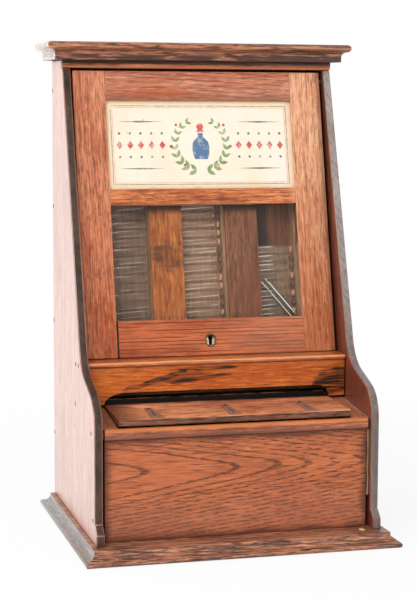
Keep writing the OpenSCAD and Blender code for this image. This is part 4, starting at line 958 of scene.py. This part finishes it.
def loose_glass():
    """The empty vial that lies askew: clear, with bright glints along the front of both its walls."""
    graph = Graph("loose_vial_glass")
    xyz = graph.axes(graph.place(True))
    side = ((xyz[0] - LOOSE_MIDDLE.x) * math.sin(LOOSE_TILT)
            + (xyz[2] - LOOSE_MIDDLE.dot(UP)) * math.cos(LOOSE_TILT))
    lines = [graph.ramp(abs(side - place), 0.4 * half, half, share, 0.0)
             for place, half, share in LOOSE_GLINTS]
    depth = LOOSE_MIDDLE.dot(INTO)
    front = graph.ramp(xyz[1], depth - 1 * MM, depth, 1.0, 0.15)
    return clear_glass(graph, tone(150, 140, 132), graph.largest(*lines) * front, LOOSE_HAZE)


def cork(name, light, dark):
    """Cork: grainy, with dark pits."""
    graph = Graph(name)
    point = graph.place(True)
    grain = graph.noise(point, 900, 4, 0.7)
    color = graph.stain(tone(*light), dark, graph.ramp(grain, 0.35, 0.65))
    color = graph.stain(color, (92, 62, 46), graph.ramp(graph.noise(point, 1500), 0.6, 0.7))
    return graph.surface(color, 0.85, grain, 0.2 * MM)


# A cork's shape from the vial's mouth out, in shares of its radius and length, and the clean corks of each
# column, counted from its top
CORK_SHAPE = ((0, 0), (0.82, 0), (0.97, 0.4), (1, 0.7), (0.9, 0.88), (0.6, 0.98), (0, 1))
CORK_RADIUS, CORK_SEGMENTS = 3.4 * MM, 20
CLEAN_CORKS = ((), (3, 4, 5, 9, 10, 13), (0, 3, 5, 7))


def corks():
    """Turned corks with rounded ends, a few clean and the rest browned."""
    columns = {}
    for group in islands("vial_corks"):
        columns.setdefault(round(min(p.x for p in group), 3), []).append(group)
    bm = bmesh.new()
    for (_, groups), clean in zip(sorted(columns.items()), CLEAN_CORKS):
        groups.sort(key=lambda group: -max(p.dot(UP) for p in group))
        for number, group in enumerate(groups):
            centre = sum(group, Vector()) / len(group)
            ends = sorted({round(p.x, 6) for p in group}, key=lambda x: max(
                (p - centre).length for p in group if abs(p.x - x) < 0.01 * MM))
            length, axis = abs(ends[-1] - ends[0]), Vector((math.copysign(1, ends[-1] - ends[0]), 0, 0))
            before = len(bm.faces)
            lathe(bm, [(radius * CORK_RADIUS, height * length) for radius, height in CORK_SHAPE],
                  Vector((ends[0], centre.y, centre.z)), axis, CORK_SEGMENTS)
            bm.faces.ensure_lookup_table()
            for face in bm.faces[before:]:
                face.material_index = 0 if number in clean else 1
    finished(bm, "turned_corks", [cork("cork", (252, 208, 178), (224, 172, 140)),
                                  cork("browned_cork", (156, 124, 102), (126, 98, 80))],
             BODY_OF["vial_corks"], ["vial_corks"])


corks()
dressed("window_glass", [pane_glass()] * 2, arris=0.3 * MM)
GLASS_OF = {
    "left": vial_glass("vial_glass_left", (196, 160, 136), (158, 128, 110), 0.7, (-46 * MM, 10 * MM)),
    "middle": vial_glass("vial_glass_middle", (246, 202, 168), (216, 174, 144), 0.8, (30 * MM, 8 * MM)),
    "right": vial_glass("vial_glass_right", (222, 194, 168), (184, 158, 138), 1.0, (96 * MM, 16 * MM))}
INSIDE = {group + column: glass for column, glass in GLASS_OF.items() for group in ("vials_", "ready_vial_")}
INSIDE["loose_vial"] = loose_glass()
for node, material in INSIDE.items():
    NODES[node].data.materials.clear()
    NODES[node].data.materials.append(material)

# Sign card: faded paper with a printed border, a bottle between two sprigs and plain ornaments
CARD_LOW, CARD_HIGH = span("sign_card", UP)
CARD_FACE = span("sign_card", INTO)[0]
CARD_MIDDLE = (CARD_LOW + CARD_HIGH) / 2
LIP = 3.6 * MM
OPEN_HALF_W = span("sign_card", ACROSS)[1] - LIP
OPEN_HALF_H = (CARD_HIGH - CARD_LOW) / 2 - LIP
INK_LIFT, INK_THICK = 0.05 * MM, 0.04 * MM


def card_paper():
    """Cream card, yellow along its edges, with brown spots and a stained foot."""
    graph = Graph("card_paper")
    point = graph.place(True)
    xyz = graph.axes(point)
    up = xyz[2] - CARD_MIDDLE
    blotch = graph.noise(point, 22, 3)
    edge = graph.largest(abs(xyz[0]) - OPEN_HALF_W, abs(up) - OPEN_HALF_H) + blotch * (9 * MM)
    color = graph.stain(tone(255, 240, 222), (255, 232, 206), graph.ramp(blotch, 0.3, 0.7))
    color = graph.fade(color, edge, ((240, 212, 160), -4 * MM, 5 * MM, 0.6))
    spots = graph.out("TexVoronoi", "Distance", {"Vector": point, "Scale": 46.0})
    color = graph.stain(color, (206, 164, 96), graph.ramp(spots, 0.03, 0.09, 0.45, 0.0))
    foot = up + graph.noise(point, 60, 4) * (14 * MM)
    color = graph.fade(color, foot, ((196, 150, 88), 9 * MM - OPEN_HALF_H, 5 * MM - OPEN_HALF_H, 0.4))
    return graph.surface(color, 0.75, graph.noise(point, 240, 4, 0.6), 0.08 * MM)


def ink(name, screen):
    """Printing ink, faded unevenly into the card."""
    graph = Graph(name)
    fade = graph.noise(graph.place(True), 180, 4, 0.7)
    return graph.surface(graph.fade(tone(*screen), fade, ((248, 238, 212), 0.42, 0.75, 0.7)), 0.7)


def on_card(x, up):
    """A point just in front of the card, from its middle, in millimetres."""
    return ACROSS * x * MM + UP * (CARD_MIDDLE + up * MM) + INTO * (CARD_FACE - INK_LIFT)


def printed(name, outlines, material):
    """A thin print on the card: each outline is a list of (x, up) points in millimetres."""
    bm = bmesh.new()
    for outline in outlines:
        front = [bm.verts.new(on_card(*p)) for p in outline]
        back = [bm.verts.new(on_card(*p) + INTO * INK_THICK) for p in outline]
        bm.faces.new(front)
        bm.faces.new(back[::-1])
        for i in range(len(front)):
            j = (i + 1) % len(front)
            bm.faces.new((front[i], back[i], back[j], front[j]))
    finished(bm, name, [material], "door")


def rule(x0, x1, up, thick):
    """A rule that tapers to a point at both ends."""
    mid = (x0 + x1) / 2
    return [(x0, up), (mid, up - thick / 2), (x1, up), (mid, up + thick / 2)]


def frame_lines(inset, t):
    """The four strokes of a border, t thick."""
    w, h = OPEN_HALF_W / MM - inset, OPEN_HALF_H / MM - inset
    return [[(-w, h), (-w, h - t), (w, h - t), (w, h)], [(-w, -h + t), (-w, -h), (w, -h), (w, -h + t)],
            [(-w, h - t), (-w, -h + t), (-w + t, -h + t), (-w + t, h - t)],
            [(w - t, h - t), (w - t, -h + t), (w, -h + t), (w, h - t)]]


LEAF_STEPS = (0.2, 0.4, 0.6, 0.8)


def leaf(x, up, angle, length, width):
    """A pointed leaf that grows from a point."""
    c, s = math.cos(angle), math.sin(angle)
    edge = [(length * t, width / 2 * math.sin(math.pi * t ** 0.8)) for t in LEAF_STEPS]
    outline = [(0, 0)] + edge + [(length, 0)] + [(a, -b) for a, b in reversed(edge)]
    return [(x + a * c - b * s, up + a * s + b * c) for a, b in outline]


def dot(x, up, radius, count=16):
    """A round dot."""
    return [(x + radius * math.cos(a), up + radius * math.sin(a))
            for a in (2 * math.pi * i / count for i in range(count))]


# The wreath, in millimetres and degrees: how its leaves follow each other and shrink, and where berries hang
WREATH_RADIUS, WREATH_STEPS, WREATH_START, WREATH_TURN = 27.0, 9, -78, 17
LEAF_LENGTH, LEAF_WIDTH, LEAF_SPREAD = (9.5, 0.45), (4.2, 0.2), 0.65
BERRY_OUT, BERRY_UP, BERRY_RADIUS = 4.5, 3, 1.5


def sprig(side):
    """Leaves and berries along one arc of a wreath."""
    leaves, berries = [], []
    for i in range(WREATH_STEPS):
        angle = math.radians(WREATH_START + WREATH_TURN * i)
        x, up = side * WREATH_RADIUS * math.cos(angle), WREATH_RADIUS * math.sin(angle)
        grow = math.atan2(math.cos(angle), -side * math.sin(angle))
        for turn in (LEAF_SPREAD, -LEAF_SPREAD):
            leaves.append(leaf(x, up, grow + turn, LEAF_LENGTH[0] - LEAF_LENGTH[1] * i,
                               LEAF_WIDTH[0] - LEAF_WIDTH[1] * i))
        if i % 3 == 1:
            berries.append(dot(x + side * BERRY_OUT, up + BERRY_UP, BERRY_RADIUS))
    return leaves, berries


# Right half of the bottle's outline and of its stopper's
BOTTLE_HALF = [(2.6, 12.5), (2.6, 8.5), (4.5, 7), (8, 3), (9, -3), (8.4, -10), (6.5, -14.5)]
STOPPER_HALF = [(4, 13.6), (4, 14.6), (2, 15.6), (3.8, 18.5), (2.6, 21.5), (0, 23)]


def mirrored(half):
    """An outline from its right half. A point on the middle isn't doubled."""
    return half + [(-x, up) for x, up in reversed(half) if x]


# Ornaments to the left and right of the wreath, in millimetres
SIDE_MIDDLE, RULE_HALF, RULE_UP, RULE_THICK = 62, 24, 24, 1.8
GEM_STEP, GEM_HALF, DOT_UP, DOT_RADIUS = 11, (3.2, 4.4), 12, 1.3


def make_sign():
    """The card and what is printed on it."""
    dressed("sign_card", [card_paper()] * 2, arris=0.15 * MM)
    leaves, berries, rules, gems, dots = [], [], [], [], []
    for side in (-1, 1):
        for found, made in zip((leaves, berries), sprig(side)):
            found += made
        for up in (RULE_UP, -RULE_UP):
            rules.append(rule(side * SIDE_MIDDLE - RULE_HALF, side * SIDE_MIDDLE + RULE_HALF, up, RULE_THICK))
        for k in range(-2, 3):
            x = side * SIDE_MIDDLE + GEM_STEP * k
            gems.append([(x - GEM_HALF[0], 0), (x, -GEM_HALF[1]), (x + GEM_HALF[0], 0), (x, GEM_HALF[1])])
            dots += [dot(x, up, DOT_RADIUS) for up in (DOT_UP, -DOT_UP)]
    printed("sign_border", frame_lines(4.5, 0.9), ink("ink_olive", (166, 152, 92)))
    printed("sign_inner_border", frame_lines(6.4, 0.4), ink("ink_rust", (206, 108, 92)))
    printed("sign_leaves", leaves, ink("ink_green", (128, 156, 96)))
    printed("sign_red_print", berries + gems + [mirrored(STOPPER_HALF)], ink("ink_red", (210, 84, 76)))
    printed("sign_bottle", [mirrored(BOTTLE_HALF)], ink("ink_blue", (84, 122, 158)))
    printed("sign_rules", rules + dots, ink("ink_grey", (108, 108, 100)))


make_sign()

# A pale shim that shows in the gap beside the front panel
SHIM_TOP, SHIM_FOOT, SHIM_STEPS = 1 * MM, 66 * MM, 12
SHIM_LEFT, SHIM_RIGHT = panel_high.x + 0.5 * MM, CORNER_X - 0.3 * MM
SHIM_SUNK, SHIM_WANDER, SHIM_WAVE = 1.6 * MM, 0.35 * MM, 5.1


def shim():
    """A thin slip of bare wood, uneven along its edge."""
    bm = bmesh.new()
    front, back = panel_low.y + SHIM_SUNK, panel_high.y
    rows = []
    for i in range(SHIM_STEPS + 1):
        z = panel_high.z - SHIM_TOP - (SHIM_FOOT - SHIM_TOP) * i / SHIM_STEPS
        edge = SHIM_LEFT + SHIM_WANDER * (1 + math.sin(SHIM_WAVE * i))
        corners = ((edge, front, z), (SHIM_RIGHT, front, z), (SHIM_RIGHT, back, z), (edge, back, z))
        rows.append([bm.verts.new(corner) for corner in corners])
    for upper, lower in zip(rows, rows[1:]):
        for k in range(4):
            bm.faces.new((upper[k], upper[(k + 1) % 4], lower[(k + 1) % 4], lower[k]))
    bm.faces.new(rows[0])
    bm.faces.new(rows[-1][::-1])
    pale = oak("shim_wood", "zxy", (232, 206, 170), (214, 180, 140), (176, 138, 100), NARROW_GRAIN,
               strength=0.3)
    finished(bm, "panel_shim", [pale], "case")


shim()

# Stage: the floor shows mostly as painted light, so that its far end meets the background, and keeps a shadow
FLOOR_SHOWN, FLOOR_NEAR, FLOOR_FAR = 0.88, 0.3, 1.0
FLOOR_HALF, FLOOR_DROP = 9, 0.2 * MM
WORLD_LIGHT, WORLD_SHOWN = 0.5, 1.0
WHITE = (1, 1, 1, 1)
# Soft square lamps: name, place, aim and power
LAMP_SIZE = 1.2
LAMPS = (("key", (-1.25, -1.5, 1.6), (0, 0, 0.2), 26), ("fill", (2.0, -1.1, 0.9), (0, 0, 0.25), 12),
         ("left", (-2.1, 0.3, 0.8), (-0.1, 0, 0.25), 26))


def background(graph):
    """1 for rays that show the background: straight from the camera, in gloss or through glass."""
    path = graph.add("LightPath").outputs
    return graph.largest(*(Field(graph, path["Is " + kind + " Ray"])
                           for kind in ("Camera", "Glossy", "Transmission")))


def make_floor():
    """A pale floor."""
    graph = Graph("floor_paint")
    speckle = graph.noise(graph.place(), 3)
    pale = graph.mix(speckle, (0.94, 0.94, 0.94, 1), (0.96, 0.96, 0.96, 1))
    paint = graph.out("BsdfDiffuse", 0, {"Color": pale})
    glow = graph.out("Emission", 0, {"Color": WHITE, "Strength": 1.0})
    away = graph.out("VectorMath", "Value", {0: graph.place()}, operation="LENGTH")
    share = background(graph) * graph.ramp(away, FLOOR_NEAR, FLOOR_FAR, FLOOR_SHOWN, 1.0)
    bm = bmesh.new()
    bmesh.ops.create_grid(bm, x_segments=1, y_segments=1, size=FLOOR_HALF)
    mesh = to_mesh(bm, "floor")
    mesh.materials.append(graph.end(graph.out("MixShader", 0, {0: share, 1: paint, 2: glow})))
    floor = placed("floor", mesh)
    floor.location.z = -FLOOR_DROP


def make_light():
    """A white background and soft studio light."""
    world = bpy.data.worlds.new("studio")
    bpy.context.scene.world = world
    graph = Graph("studio", world, "OutputWorld")
    level = graph.out("MapRange", "Result", {"Value": background(graph), "To Min": WORLD_LIGHT,
                                             "To Max": WORLD_SHOWN})
    graph.end(graph.out("Background", 0, {"Color": WHITE, "Strength": level}))
    for name, place, aim, power in LAMPS:
        data = bpy.data.lights.new(name, "AREA")
        data.size = LAMP_SIZE
        data.energy = power
        light = placed(name, data)
        light.location = place
        light.rotation_euler = (Vector(aim) - Vector(place)).to_track_quat("-Z", "Y").to_euler()
        light.visible_camera = False
    bpy.context.scene.view_settings.view_transform = "Standard"


make_floor()
make_light()
